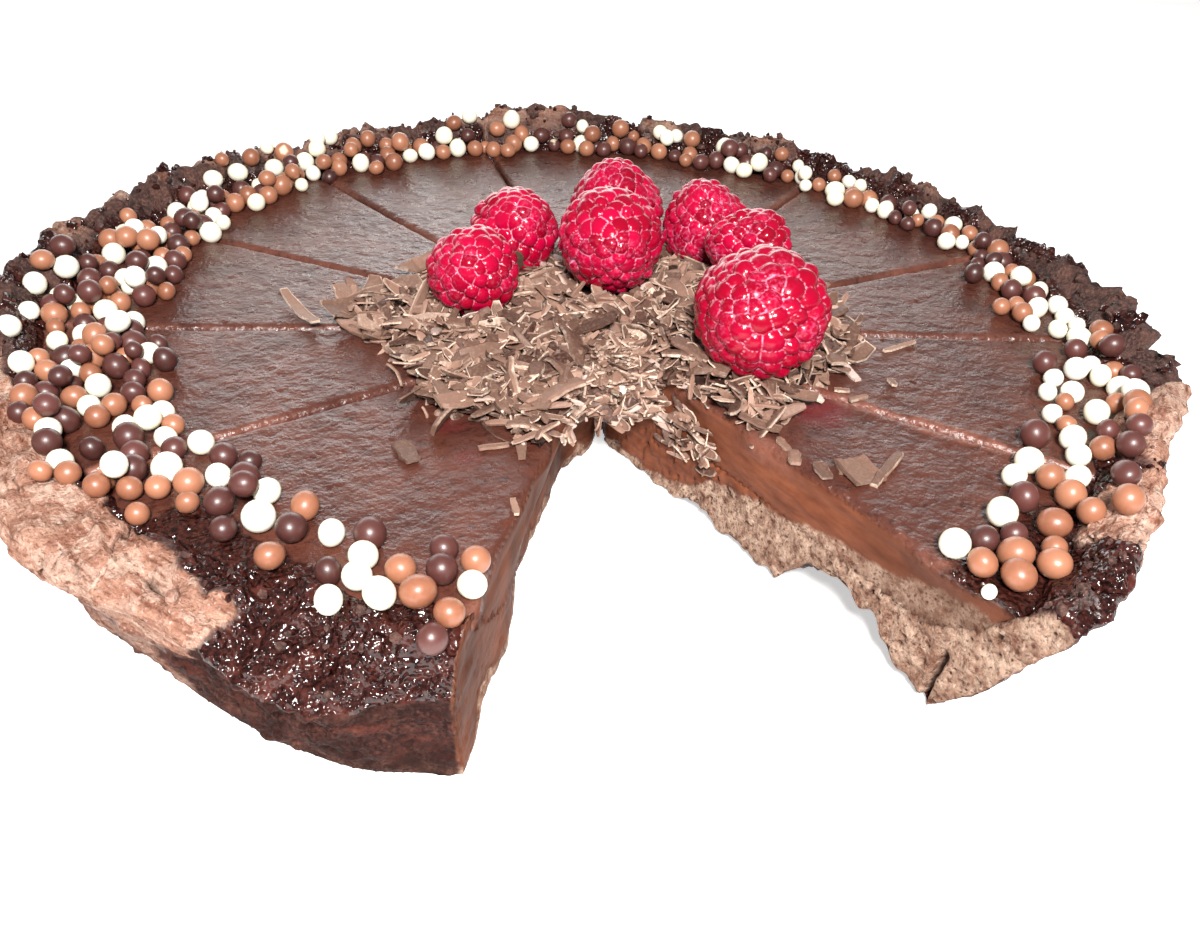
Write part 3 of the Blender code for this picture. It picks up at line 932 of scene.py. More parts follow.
def sculpt_crust(piece, number):
    """Give a slice of crust its crumbs, flakes, folds and cut face."""
    mesh = piece.data
    points, normals = read_points(mesh)
    bare, wet, open_face, wall, rim = crust_zones(points, normals, number)
    angles, radii = polar(points)
    height = points[:, 2].copy()
    outside = smooth(radii, on_ring(angles, FILLING_RADIUS) - 2, on_ring(angles, FILLING_RADIUS) + 1)
    outside = np.maximum(outside, wall)
    outside *= smooth(height, 0.2, 2.5) * (1 - open_face)

    crumbs, crumb_kind = cell_noise(points, 2.7, 51)
    small_crumbs, _ = cell_noise(points, 1.35, 54)
    crumbly = (0.55 - crumbs) * (0.6 + 0.9 * crumb_kind) + (0.5 - small_crumbs) * 0.5
    crumbly += 0.3 * noise(points, 1.8, 57)
    lumps = rough_noise(points, 8, 61, 2)
    streaks = along_tart(points, 9.0, 1.3, 1.3, 71) + 0.6 * along_tart(points, 5.0, 0.7, 0.7, 72)
    folds = 1 - 2 * np.abs(along_tart(points, 20.0, 6.5, 6.5, 73))
    front = between(angles, 224, 252, 4)
    flaky = 0.24 * streaks + 0.75 * folds + 0.14 * noise(points, 1.3, 74)

    cracks = smooth(np.abs(along_tart(points, 15.0, 4.5, 4.5, 75)), 0.09, 0.02)
    cracks *= np.maximum(bare, wall * (1 - front)) * smooth(noise(points, 12, 76), -0.2, 0.3)
    layers = along_tart(points, 16.0, 3.2, 3.2, 77) * 3.0
    steps = smooth(layers % 1.0, 0.0, 0.25) - layers % 1.0
    flaky += 0.55 * steps - 1.1 * cracks

    swell = 0.8 * lumps + (1 - bare) * ((0.95 + 0.4 * front) * crumbly - 0.9 * cracks) + bare * flaky
    swell *= 1 - 0.35 * wall * (1 - between(angles, 190, 250, 6))
    points += normals * (swell * outside)[:, None]

    crest = smooth(height, on_ring(angles, RIM_HEIGHT) - 5, on_ring(angles, RIM_HEIGHT) - 1)
    jag, jag_kind = cell_noise(points * np.array([1, 1, 0.3]), 4.2, 81)
    chips = np.where(jag_kind > 0.5, 1.6, -1.6) * smooth(jag, 0.75, 0.25)
    points[:, 2] += crest * outside * (0.9 * chips * (1 - 0.6 * bare) + 0.5 * noise(points, 3.0, 85))
    fins = smooth(np.abs(noise(points * np.array([1, 1, 0.2]), 6.5, 90)), 0.22, 0.0)
    fins *= between(angles, 0, 180, 15) * smooth(noise(points, 8, 96), -0.1, 0.2)
    points[:, 2] += crest * outside * (1.3 * fins + on_ring(angles, CREST_RISE))
    jut = crest * outside * (1.3 * noise(points, (3.4, 3.4, 5.0), 86) + 0.6 * noise(points, 1.6, 87))
    jut *= 1 + 1.2 * between(angles, 338, 358, 4)
    jut += outside * smooth(height, 10, 24) * on_ring(angles, CREST_REACH)
    points[:, :2] += (jut / radii)[:, None] * points[:, :2]

    filling = on_ring(angles, FILLING_RADIUS)
    seam = between(radii, filling - 1.5, filling + 2.5, 1.5) * smooth(normals[:, 2], 0.2, 0.7)
    points[:, 2] += seam * (0.25 + 0.55 * noise(points, 2.4, 88))

    slot = between(angles, 220, 223.5, 1.2) * smooth(height, 20, 22)
    slot *= np.exp(-(((radii - 106.0 - 0.25 * (angles - 221) - 0.8 * noise(points, 4, 89)) / 0.7) ** 2))
    points[:, 2] -= 2.0 * slot

    slump = between(angles, 234, 247, 8) * smooth(radii, rim - 13, rim - 1) * smooth(height, 9, 22)
    points[:, 2] -= 5.0 * slump

    # Painted shade, darkened in the material: the gaps between crumbs, the troughs of the bare crust's
    # streaks, cracks and the slot.
    hollow = np.clip((crumbs - 0.45) * 2.2, 0, 1) * (1 - bare) * outside
    hollow = np.maximum(hollow, bare * smooth(streaks, -0.7, -1.25) * 0.8)
    hollow = np.maximum(hollow, np.maximum(slot, 0.9 * cracks * outside))
    # Painted shade on the front wall, which overhangs the plate and faces down and out.
    painted_wall_shade = front * smooth(wall, 0.2, 0.7) * (1 - bare) * (1 - open_face)
    hollow = np.maximum(hollow, painted_wall_shade * np.clip(0.75 + 0.45 * noise(points, 2.2, 97), 0, 1))
    smear = np.zeros(len(points))
    if number in (1, SLICES):
        push, lift, pits = gap_face_shape(points, number)
        angle = CUT_ANGLES[0] if number == 1 else CUT_ANGLES[-1]
        side = 1 if number == 1 else -1
        turn = np.radians(angle)
        inward = side * np.array([-np.sin(turn), np.cos(turn), 0.0])
        soft = 0.25 if number == SLICES else 1.0
        push = push * soft
        _, along = cut_frame(points, angle)
        if number == SLICES:
            near = gap_distance(points, number)
            push = push + face_drag(points, angle) * open_face + face_recess(points, near)
            tuck = 0.6 * np.maximum(along - 98, 0) * smooth(near, 20, 2)
            points -= np.array([np.cos(turn), np.sin(turn), 0.0]) * tuck[:, None]
        points += inward * push[:, None]
        points[:, 2] = np.maximum(points[:, 2], np.minimum(lift, 12))
        # Painted shade down in the open face's pits and crack.
        hollow = np.maximum(hollow, pits * soft)
        if number == SLICES:
            edge = 2.0 + 1.5 * noise(points, (6.0, 6.0, 30.0), 91) + 1.0 * noise(points, 2.0, 92)
            smear = open_face * smooth(height - lift - edge, -0.5, 0.6)
        else:
            edge = filling_edge(along) + 1.2 * noise(points, (7.0, 7.0, 30.0), 93)
            edge += 0.7 * noise(points, 1.8, 94)
            smear = open_face * smooth(height - edge, -0.3, 0.5) * smooth(radii, 104, 98)
    write_points(mesh, points)
    face = open_face * (1 - smear)
    add_layers(mesh, light=bare * (1 - face), wet=wet * (1 - open_face), cut=face, smear=smear)
    shade = face_shade(points, number, open_face * smear)
    add_layers(mesh, hollow=hollow * (1 - smear), shade=shade)
    low_wall = wall * smooth(height, 17 + 3 * noise(points, 5, 95), 13)
    low_wall = np.maximum(low_wall, front * smooth(normals[:, 2], 0.45, 0.2))
    return np.maximum(open_face, np.maximum(low_wall, 0.8 * bare))


def make_crust(materials):
    """Ten slices of crust. Returns their objects."""
    made = []
    for number in range(1, SLICES + 1):
        name = f"crust_{number:02d}"
        fine = number in (1, SLICES - 1, SLICES)
        voxel = FINE_CRUST_VOXEL if fine else CRUST_VOXEL
        piece = remeshed(name, f"crust_slice_{number:02d}", voxel, 1)
        points, _ = read_points(piece.data)
        thin_out(piece, hidden_crust(points, number))
        dull = sculpt_crust(piece, number)
        add_piece(name, piece.data, materials, second=dull)
        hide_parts(f"crust_slice_{number:02d}")
        made.append(piece)
    return made


# ---------------------------------------------------------------- ganache

def hidden_ganache(points, number):
    """Which points lie in the crust or against a neighbour."""
    height = points[:, 2]
    low = height < FILLING_TOP - 3.5
    return low & (gap_distance(points, number) > 2)


def smeared_lip(points, angle, strength):
    """How high the knife left the filling along a cut, and how lightly it is smeared there."""
    across, along = cut_frame(points, angle)
    away = np.abs(across)
    track = np.stack([along, 0 * along, np.full(len(points), float(angle))], axis=1)
    swell = 0.50 + 0.60 * noise(track, (13.0, 9.0, 9.0), 101) + 0.2 * noise(track, (3.0, 9.0, 9.0), 102)
    width = 1.5 + 0.7 * noise(track, (8.0, 9.0, 9.0), 103)
    ahead = (along > 6).astype(float)
    lip = ahead * strength * np.clip(swell, 0.05, 1.5) * np.exp(-(((away - 0.9) / width) ** 2))
    return lip, ahead * np.clip(strength * 1.15 * swell, 0, 1) * smooth(away, width + 1.1, width - 0.2)


def sculpt_ganache(piece, number):
    """Give a slice of filling its ripples, pits, knife smears and cut face."""
    mesh = piece.data
    points, normals = read_points(mesh)
    angles, radii = polar(points)
    top = smooth(normals[:, 2], 0.3, 0.85) * smooth(points[:, 2], 24, 26)
    first, last = CUT_ANGLES[number - 1], CUT_ANGLES[number]
    lip_a, smear_a = smeared_lip(points, first, CUT_SMEARS[number - 1])
    lip_b, smear_b = smeared_lip(points, last, CUT_SMEARS[number])
    upper = smooth(points[:, 2], 22, 26)
    lip = np.maximum(lip_a, lip_b) * upper
    smear = np.maximum(smear_a, smear_b) * upper

    pit, pit_kind = cell_noise(points * np.array([1, 1, 0.2]), 7.0, 111)
    pits = smooth(pit, 0.10, 0.04) * (pit_kind > 0.45)
    ripples = noise(points, np.array([3.2, 2.0, 3.0]), 121) + 0.5 * noise(points, 1.5, 122)
    rise = 0.25 * noise(points, 26, 123) + 0.09 * ripples - 0.45 * pits + 0.75 * lip
    edge_lumps = smooth(gap_distance(points, number), 4.5, 1.0) * smooth(radii, 40, 60)
    rise += 0.55 * edge_lumps * rough_noise(points, 2.4, 125, 2)
    points[:, 2] += rise * top

    ragged = 1.8 * noise(points, 5, 126) + 0.9 * noise(points, 2, 127)
    soaked = smooth(radii - on_ring(angles, SOAKED_RIM) + ragged, -0.5, 0.8) * upper
    lump, _ = cell_noise(points, 2.2, 128)
    points[:, 2] += soaked * top * (1.0 * (0.5 - lump) + 0.4 * noise(points, 1.3, 129))

    filling = on_ring(angles, FILLING_RADIUS)
    rim_edge = smooth(radii, filling - 4.0, filling - 0.5) * upper
    spread = rim_edge * (1.9 + 1.2 * noise(points, (5.0, 5.0, 20.0), 132))
    points[:, :2] += (spread / radii)[:, None] * points[:, :2]
    points[:, 2] -= rim_edge * (0.45 + 0.5 * noise(points, 3.0, 133))

    near_cut = smooth(inner_cut_distance(points, number), 2.2, 0.6) * upper
    wander = 0.30 * noise(points, (6.0, 6.0, 40.0), 131)
    middle = np.radians((first + last) / 2)
    outward = np.array([np.cos(middle), np.sin(middle)])
    points[:, :2] += outward * (wander * near_cut)[:, None] * 0.5

    face, crumb = np.zeros((2, len(points)))
    if number in (1, SLICES):
        face = smooth(gap_distance(points, number), 1.6, 0.9)
        angle = CUT_ANGLES[0] if number == 1 else CUT_ANGLES[-1]
        side = 1 if number == 1 else -1
        turn = np.radians(angle)
        inward = side * np.array([-np.sin(turn), np.cos(turn)])
        _, along = cut_frame(points, angle)
        bulge = 0.8 * noise(np.stack([along, 0 * along, 0 * along], axis=1), 7.0, 143)
        bulge *= smooth(points[:, 2], 22, 27)
        shift = (face_drag(points, angle) + bulge) * face
        if number == SLICES:
            shift += face_recess(points, gap_distance(points, number))
        else:
            edge = filling_edge(along) + 1.2 * noise(points, (7.0, 7.0, 30.0), 93)
            edge += 0.7 * noise(points, 1.8, 94)
            crumb = face * smooth(points[:, 2] - edge, 0.5, -0.3)
        points[:, :2] += inward * shift[:, None]
        facing = smooth(np.abs(normals[:, :2] @ inward), 0.5, 0.8)
        closing = smooth(gap_distance(points, number), 4.0, 1.5) * (1 - facing) * (1 - top)
        points += normals * (1.2 * closing)[:, None]
        face *= smooth(normals[:, 2], 0.75, 0.35)
    write_points(mesh, points)
    spots = ((40.0, -41.5, 8.5, 0.75), (-31.0, -35.5, 4.0, 0.35), (-29.0, -46.0, 3.0, 0.3))
    juice = np.zeros(len(points))
    for x, y, size, strength in spots:
        away = np.hypot(points[:, 0] - x, points[:, 1] - y) + 1.5 * noise(points, 3.0, 151)
        juice = np.maximum(juice, strength * smooth(away, size, size * 0.2))
    add_layers(mesh, smear=smear, face=face, juice=juice, crumb=crumb)
    add_layers(mesh, shade=face_shade(points, number, face), soaked=soaked * (1 - face))
    return face


def make_ganache(materials):
    """Ten slices of filling. Returns their objects."""
    made = []
    for number in range(1, SLICES + 1):
        name = f"ganache_{number:02d}"
        piece = remeshed(name, f"ganache_slice_{number:02d}", GANACHE_VOXEL, 3)
        points, _ = read_points(piece.data)
        thin_out(piece, hidden_ganache(points, number))
        face = sculpt_ganache(piece, number)
        add_piece(name, piece.data, materials, second=face)
        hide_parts(f"ganache_slice_{number:02d}")
        made.append(piece)
    return made


# ---------------------------------------------------------------- raspberries

def berry_form(units, width, length):
    """Points of the unit sphere moved to the CAD berry's form: wide shoulders, a round tip at +Z
    and a flattened base."""
    up = units[:, 2]
    spread = width / 2 * (1 - 0.22 * up - 0.06 * up**2)
    rise = length / 2 * np.where(up > 0, up, up * (1 - 0.18 * up**2))
    return np.stack([units[:, 0] * spread, units[:, 1] * spread, rise], axis=1)


def drupelet_spots(count, rng):
    """Evenly spread directions, each a little out of place."""
    index = np.arange(count)
    up = 1 - (2 * index + 1) / count
    across = np.sqrt(1 - up**2)
    turn = index * GOLDEN_ANGLE
    spots = np.stack([across * np.cos(turn), across * np.sin(turn), up], axis=1)
    spots += rng.normal(0, 0.30 / np.sqrt(count), spots.shape)
    return spots / np.linalg.norm(spots, axis=1)[:, None]


def make_berry(number, units, faces, material):
    """A raspberry of round, crowded drupelets, in the place and size of its CAD node."""
    lean, heading, drupelet, squat = BERRIES[number - 1]
    rng = np.random.default_rng(700 + number)
    turn = np.radians(heading)
    rotation = Matrix.Rotation(np.radians(lean), 3, (-np.sin(turn), np.cos(turn), 0.0))
    rotation = np.array(rotation)
    solid = node_points(f"raspberry_{number}")
    own = (solid - (solid.min(0) + solid.max(0)) / 2) @ rotation
    length = np.ptp(own[:, 2])
    width = (np.ptp(own[:, 0]) + np.ptp(own[:, 1])) / 2

    inner_width, inner_length = width - 1.5, length - 1.5
    area = np.pi * inner_width * inner_length
    count = int(area / (0.866 * drupelet**2))
    centres = berry_form(drupelet_spots(count, rng), inner_width, inner_length)
    centres *= 1 + rng.normal(0, 0.018, (count, 1))
    sizes = rng.uniform(0.80, 1.20, count)
    skin = berry_form(units, inner_width, inner_length)
    distance = np.linalg.norm(skin[:, None] - centres[None], axis=2) / sizes
    order = np.argsort(distance, axis=1)[:, :2]
    nearest = np.take_along_axis(distance, order, axis=1)
    dome = drupelet * 0.64
    bump = np.sqrt(np.clip(1 - (nearest[:, 0] / dome) ** 2, 0, 1)) * drupelet * 0.46
    bump += rng.normal(0, 0.06 * drupelet, count)[order[:, 0]] * smooth(nearest[:, 0], dome, 0)
    crease = smooth(nearest[:, 1] - nearest[:, 0], 0.11 * drupelet, 0.0)
    outward = skin / np.linalg.norm(skin, axis=1)[:, None]
    points = skin + outward * (bump - drupelet * 0.28 + 0.5 * noise(skin + 50 * number, 8, 190))[:, None]

    base = smooth(units[:, 2], -0.86, -0.95)
    points[:, 2] += base * 3.0
    tone = rng.uniform(0, 1, count)[order[:, 0]] * (0.5 if number == 7 else 1.0)
    down = smooth(rough_noise(points + 40 * number, 7, 200, 2), -0.2, 0.7)
    if number == 5:
        down = np.maximum(down, smooth(points @ np.array([-0.5, -0.6, -0.6]), 1, 6))

    points = points @ rotation.T
    points[:, 2] *= squat
    points += (solid.min(0) + solid.max(0)) / 2 - (points.min(0) + points.max(0)) / 2
    points[:, 2] += solid[:, 2].min() - points[:, 2].min()
    mesh = mesh_from_arrays(f"berry_{number}", points, [faces])
    add_layers(mesh, crease=crease, tone=tone, down=down, base=base)
    piece = add_piece(f"berry_{number}", mesh, [material])
    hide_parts(f"raspberry_{number}")
    return piece


def make_berries(material):
    units, faces = sphere_mesh(6)
    return [make_berry(number, units, faces, material) for number in range(1, len(BERRIES) + 1)]


# ---------------------------------------------------------------- ground that loose things rest on

class Ground:
    """Heights of the tart's top, looked up on an even grid."""

    def __init__(self, pieces, step=1.0, reach=128.0):
        self.step, self.reach = step, reach
        points, faces, start = [], [], 0
        for piece in pieces:
            found, _ = read_points(piece.data)
            piece.data.calc_loop_triangles()
            corners = np.empty(len(piece.data.loop_triangles) * 3, np.int32)
            piece.data.loop_triangles.foreach_get("vertices", corners)
            points.append(found)
            faces.append(corners.reshape(-1, 3) + start)
            start += len(found)
        tree = BVHTree.FromPolygons(np.concatenate(points).tolist(), np.concatenate(faces).tolist())
        count = int(2 * reach / step) + 1
        self.heights = np.full((count, count), -1.0)
        for i, j in itertools.product(range(count), repeat=2):
            x, y = i * step - reach, j * step - reach
            if x * x + y * y < reach * reach:
                hit = tree.ray_cast(Vector((x, y, 90)), Vector((0, 0, -1)))[0]
                if hit is not None:
                    self.heights[i, j] = hit.z

    def at(self, x, y):
        """The height at a place, or -1 beside the tart."""
        i = np.clip((np.asarray(x) + self.reach) / self.step, 0, len(self.heights) - 1.001)
        j = np.clip((np.asarray(y) + self.reach) / self.step, 0, len(self.heights) - 1.001)
        low_i, low_j = np.floor(i).astype(int), np.floor(j).astype(int)
        share_i, share_j = i - low_i, j - low_j
        near = self.heights[low_i, low_j] * (1 - share_j) + self.heights[low_i, low_j + 1] * share_j
        far = self.heights[low_i + 1, low_j] * (1 - share_j) + self.heights[low_i + 1, low_j + 1] * share_j
        return near * (1 - share_i) + far * share_i


# ---------------------------------------------------------------- pearls

def rest_height(x, y, radius, placed, ground):
    """The height at which a pearl's centre comes to rest at a place."""
    level = float(ground.at(x, y)) + radius * 0.93
    if len(placed):
        gap = np.hypot(placed[:, 0] - x, placed[:, 1] - y)
        touch = placed[:, 3] + radius
        under = gap < touch
        if under.any():
            climb = np.sqrt(touch[under] ** 2 - gap[under] ** 2)
            level = max(level, (placed[under, 2] + climb).max())
    return level


def roll_down(x, y, radius, placed, ground):
    """Let a pearl roll off its neighbours until it finds a pocket or the ground."""
    height = rest_height(x, y, radius, placed, ground)
    for _ in range(40):
        if height < float(ground.at(x, y)) + radius * 0.93 + 0.15:
            break
        best = None
        for turn in np.arange(0, 2 * np.pi, np.pi / 4):
            to_x, to_y = x + 0.4 * np.cos(turn), y + 0.4 * np.sin(turn)
            level = rest_height(to_x, to_y, radius, placed, ground)
            if ground.at(to_x, to_y) > 15 and level < height - 0.02:
                if best is None or level < best[2]:
                    best = (to_x, to_y, level)
        if best is None:
            break
        x, y, height = best
    return x, y, height


def front_pearls(ground, rng):
    """Rows (x, y, z, radius) of the pearls beside the gap, and the kind of each."""
    placed = np.empty((0, 4))
    kinds = []
    for kind, (name, _) in enumerate(PEARL_KINDS):
        for angle, radius in FRONT_PEARLS[name]:
            size = rng.uniform(*PEARL_DIAMETER) / 2 + 0.1
            turn = np.radians(angle)
            spot = (radius * np.cos(turn), radius * np.sin(turn), size)
            placed = np.vstack([placed, (*roll_down(*spot, placed, ground), size)])
            kinds.append(kind)
    return placed, kinds


def crowded_spot(sector, inner, outer, placed, rng):
    """A place in a sector of the band. Of a few random ones, it is the one that comes nearest to
    touching a pearl that is already there."""
    turns = np.radians(sector + rng.uniform(0, 5, 3))
    radii = np.sqrt(rng.uniform(inner**2, outer**2, 3))
    spots = np.stack([radii * np.cos(turns), radii * np.sin(turns)], axis=1)
    gaps = np.linalg.norm(spots[:, None] - placed[None, :, :2], axis=2).min(axis=1)
    return spots[np.argmin(np.abs(gaps - np.mean(PEARL_DIAMETER)))]


def scatter_pearls(placed, ground, rng):
    """Adds the other pearls' rows, dropped one after another into their band."""
    for sector in np.arange(FRONT_ANGLES[1], FRONT_ANGLES[0] + 360, 5):
        inner = on_ring(sector + 2.5, PEARL_BAND, 1)
        outer = on_ring(sector + 2.5, PEARL_BAND, 2)
        share = on_ring(sector + 2.5, PEARL_BAND, 3)
        area = np.pi * (outer**2 - inner**2) * 5 / 360
        wanted = area * share * PEARL_CROWDING / (np.pi * 2.58**2)
        for _ in range(int(wanted + rng.uniform(0, 1))):
            size = rng.uniform(*FAR_PEARL_DIAMETER) / 2
            x, y = crowded_spot(sector, inner, outer, placed, rng)
            x, y, z = roll_down(x, y, size, placed, ground)
            if ground.at(x, y) > 15:
                placed = np.vstack([placed, (x, y, z, size)])
    return placed


def pearl_shapes(places, units, rng):
    """Points and tones of slightly uneven pearls."""
    count = len(places)
    turns = turned(*rng.uniform(0, 2 * np.pi, (3, count)))
    squeeze = rng.uniform(0.90, 1.07, (count, 3))
    dent = rng.normal(0, 1, (count, 3))
    dent /= np.linalg.norm(dent, axis=1)[:, None]
    depth = rng.uniform(-0.10, 0.14, count)
    facing = np.einsum("vk,ck->cv", units, dent)
    shape = units[None] * (1 - depth[:, None] * np.clip(facing, 0, 1) ** 3)[..., None]
    shape = shape * squeeze[:, None, :]
    shape = np.einsum("cij,cvj->cvi", turns, shape)
    points = places[:, None, :3] + shape * places[:, None, 3:4]
    tone = np.repeat(rng.uniform(0, 1, count), len(units))
    chipped = np.where(rng.uniform(0, 1, count) < 0.02, 0.10, -1.0)
    chip = (facing > 1 - chipped[:, None]) & (chipped[:, None] > 0)
    return points.reshape(-1, 3), tone, chip.reshape(-1).astype(float)


def make_pearls(ground, materials):
    """All the pearls, one piece for each kind."""
    rng = np.random.default_rng(12)
    front, kinds = front_pearls(ground, rng)
    places = scatter_pearls(front, ground, rng)
    shares = [share for _, share in PEARL_KINDS]
    kinds += rng.choice(len(PEARL_KINDS), len(places) - len(kinds), p=shares).tolist()
    x, y, size = WHITE_FRAGMENT
    fragment = (x, y, float(ground.at(x, y)) + 0.7 * size, size)
    places = np.vstack([places, TIP_PEARL, fragment])
    kinds = np.array(kinds + [0, 0])
    units, faces = sphere_mesh(3)
    made = []
    for kind, (name, _) in enumerate(PEARL_KINDS):
        own = places[kinds == kind]
        points, tone, chip = pearl_shapes(own, units, rng)
        offsets = np.arange(len(own)) * len(units)
        all_faces = (faces[None] + offsets[:, None, None]).reshape(-1, 3)
        mesh = mesh_from_arrays("pearls_" + name, points, [all_faces])
        add_layers(mesh, tone=tone, chip=chip)
        made.append(add_piece("pearls_" + name, mesh, [materials[name]]))
    return made


# ---------------------------------------------------------------- shavings

def flake_shapes(places, sizes, turns, curls, twists, rng, stations, taper, widths=(0.78, 1.12)):
    """Curled, ragged flakes with rounded ends. Each has `stations` steps along it, and a rim and
    a middle across. A curl is the angle that a flake bends through, and a twist the angle that it
    turns about its length. The ends are narrower by the share `taper`. Returns the points, the
    faces of one size each, and how near each point is to an edge."""
    count = len(places)
    share = 0.5 * np.sin(np.linspace(-np.pi / 2, np.pi / 2, stations))
    length, width, thick = sizes.T
    ragged = rng.uniform(*widths, (count, stations, 2))
    taper = (1 - (2 * np.abs(share)) ** 2.6 * taper)[None]
    left = -0.5 * width[:, None] * ragged[..., 0] * taper
    right = 0.5 * width[:, None] * ragged[..., 1] * taper
    curls = np.where(np.abs(curls) < 0.02, 0.02, curls)
    bend = curls[:, None] * share[None]
    radius = (length / curls)[:, None]
    along = radius * np.sin(bend)
    rise = radius * (1 - np.cos(bend)) - 0.02 * np.abs(curls * length)[:, None]
    half = thick[:, None] / 2 * np.ones((1, stations))
    rim = FLAKE_RIM * (right - left)
    sag = 0.12 * (right - left) * np.sign(curls)[:, None]
    rows = [
        (left, -half),
        (left, half * 0.7),
        (left + rim, half - sag),
        (right - rim, half - sag),
        (right, half * 0.7),
        (right, -half),
    ]
    turn = twists[:, None] * share[None]
    ring = []
    for y, z in rows:
        across = y * np.cos(turn) - z * np.sin(turn)
        up = y * np.sin(turn) + z * np.cos(turn)
        ring.append(np.stack([along - up * np.sin(bend), across, rise + up * np.cos(bend)], axis=-1))
    ring = np.stack(ring, axis=2)
    points = np.einsum("cij,csrj->csri", turns, ring) + places[:, None, None, :]
    edge = np.zeros((count, stations, 6))
    edge[:, :, [0, 1, 4, 5]] = 1.0
    edge[:, [0, -1], :] = 1.0
    edge *= rng.uniform(0.35, 1.1, (count, 1, 1)) * rng.uniform(0.6, 1.0, (count, stations, 1))
    index = np.arange(count * stations * 6).reshape(count, stations, 6)
    here, after = index[:, :-1], index[:, 1:]
    sides = np.stack([here, np.roll(here, -1, 2), np.roll(after, -1, 2), after], axis=-1)
    ends = np.concatenate([index[:, 0, ::-1], index[:, -1]])
    return points.reshape(-1, 3), [sides.reshape(-1, 4), ends], edge.reshape(-1)


def berry_clear(x, y):
    """Which places are not inside a raspberry's foot."""
    clear = np.ones(len(x), bool)
    for number in range(1, len(BERRIES) + 1):
        low, high = (np.array(corner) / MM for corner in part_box(f"raspberry_{number}"))
        middle, half = (low + high) / 2, (high - low) / 2
        clear &= ((x - middle[0]) / half[0]) ** 2 + ((y - middle[1]) / half[1]) ** 2 > 0.42
    return clear


def scatter_flakes(heap, ground, count, rng):
    """Places for the small flakes: over the heap, thinning out past its outline."""
    x = rng.uniform(-75, 75, count * 6)
    y = rng.uniform(-75, 75, count * 6)
    top = heap.at(x, y)
    inside = top > FILLING_TOP
    fringe = np.zeros(len(x), bool)
    for turn in np.arange(0, 2 * np.pi, np.pi / 4):
        fringe |= heap.at(x + 3.5 * np.cos(turn), y + 3.5 * np.sin(turn)) > FILLING_TOP
    keep = inside | (fringe & (rng.uniform(0, 1, len(x)) < 0.25))
    keep &= berry_clear(x, y)
    x, y = x[keep][:count], y[keep][:count]
    level = np.maximum(heap.at(x, y), ground.at(x, y))
    lying = level > FILLING_TOP - 1.5
    return x[lying], y[lying], level[lying]


def gap_tip_block():
    """A lump that fills the narrow tip of the gap, hanging between its two faces."""
    rows = []
    for along, low, high in ((-6, 26.0, 30.5), (7, 24.5, 31.0), (16, 21.0, 29.5), (20, 20.0, 26.0)):
        for angle, inset in ((CUT_ANGLES[-1], -GAP_INSET), (CUT_ANGLES[0], GAP_INSET)):
            turn = np.radians(angle)
            side = np.array([-np.sin(turn), np.cos(turn)]) * inset
            spot = CUT_CENTRE[:2] + along * np.array([np.cos(turn), np.sin(turn)]) - side
            if along < 0:
                spot = CUT_CENTRE[:2] - side + np.array([2.0, 6.0])
            rows += [(*spot, low), (*spot, high)]
    bm = bmesh.new()
    for row in rows:
        bm.verts.new(Vector(row) * MM)
    bmesh.ops.convex_hull(bm, input=list(bm.verts))
    mesh = bpy.data.meshes.new("gap_tip_block")
    bm.to_mesh(mesh)
    bm.free()
    return mesh


def make_heap_core(material):
    """The smaller, rough core under the flakes, painted near-black as the shade between them."""
    piece = remeshed("shavings_core", "shavings", 1.1, 2)
    points, normals = read_points(piece.data)
    floor = points[:, 2].min()
    points[:, 2] = floor + (points[:, 2] - floor) * 0.72
    points -= normals * 0.5 * smooth(points[:, 2], floor, floor + 1)[:, None]
    write_points(piece.data, points)
    both = bmesh.new()
    both.from_mesh(piece.data)
    both.from_mesh(gap_tip_block())
    both.to_mesh(piece.data)
    both.free()
    remesh = piece.modifiers.new("Remesh", "REMESH")
    remesh.mode = "VOXEL"
    remesh.voxel_size = 1.0 * MM
    bake_modifiers(piece)

    points, normals = read_points(piece.data)
    floor = points[:, 2].min()
    relief = noise(points, (2.6, 1.2, 1.5), 301) + 0.6 * noise(points, (0.9, 2.4, 1.5), 302)
    points += normals * (0.5 * relief - 0.2)[:, None]
    points[:, 2] = np.maximum(points[:, 2], floor)
    write_points(piece.data, points)
    # Painted shade: tones below zero make the core near-black where it shows between flakes.
    add_layers(piece.data, tone=np.clip(0.4 * relief - 0.5, -0.8, 0), edge=np.zeros(len(points)))
    add_piece("shavings_core", piece.data, [material])
    return piece


def flake_set(places, length, width, thick, headings, leans, rolls, rng, curl=0.5, tones=(0, 1)):
    """The arrays that describe a set of flakes: where they are, their sizes and how they bend."""
    count = len(places)
    sizes = np.stack([length, width, thick], axis=1)
    turns = turned(headings, leans, rolls)
    bends = rng.normal(0.0, curl, count)
    twists = rng.normal(0.0, 0.5, count)
    return places, sizes, turns, bends, twists, rng.uniform(*tones, count)


def small_flakes(heap, ground, rng):
    """The many small flakes over the heap and round its foot."""
    x, y, level = scatter_flakes(heap, ground, 2500, rng)
    count = len(x)
    length = np.clip(rng.lognormal(np.log(5.0), 0.48, count), 1.8, 12)
    width = np.clip(length * rng.uniform(0.15, 0.42, count), 0.6, 3.2)
    places = np.stack([x, y, level + rng.uniform(-0.3, 2.2, count)], axis=1)
    headings = rng.uniform(0, 2 * np.pi, count)
    leans = rng.normal(0, 0.38, count)
    rolls = rng.normal(0, 0.8, count)
    return flake_set(places, length, width, rng.uniform(0.25, 0.5, count), headings, leans, rolls, rng)


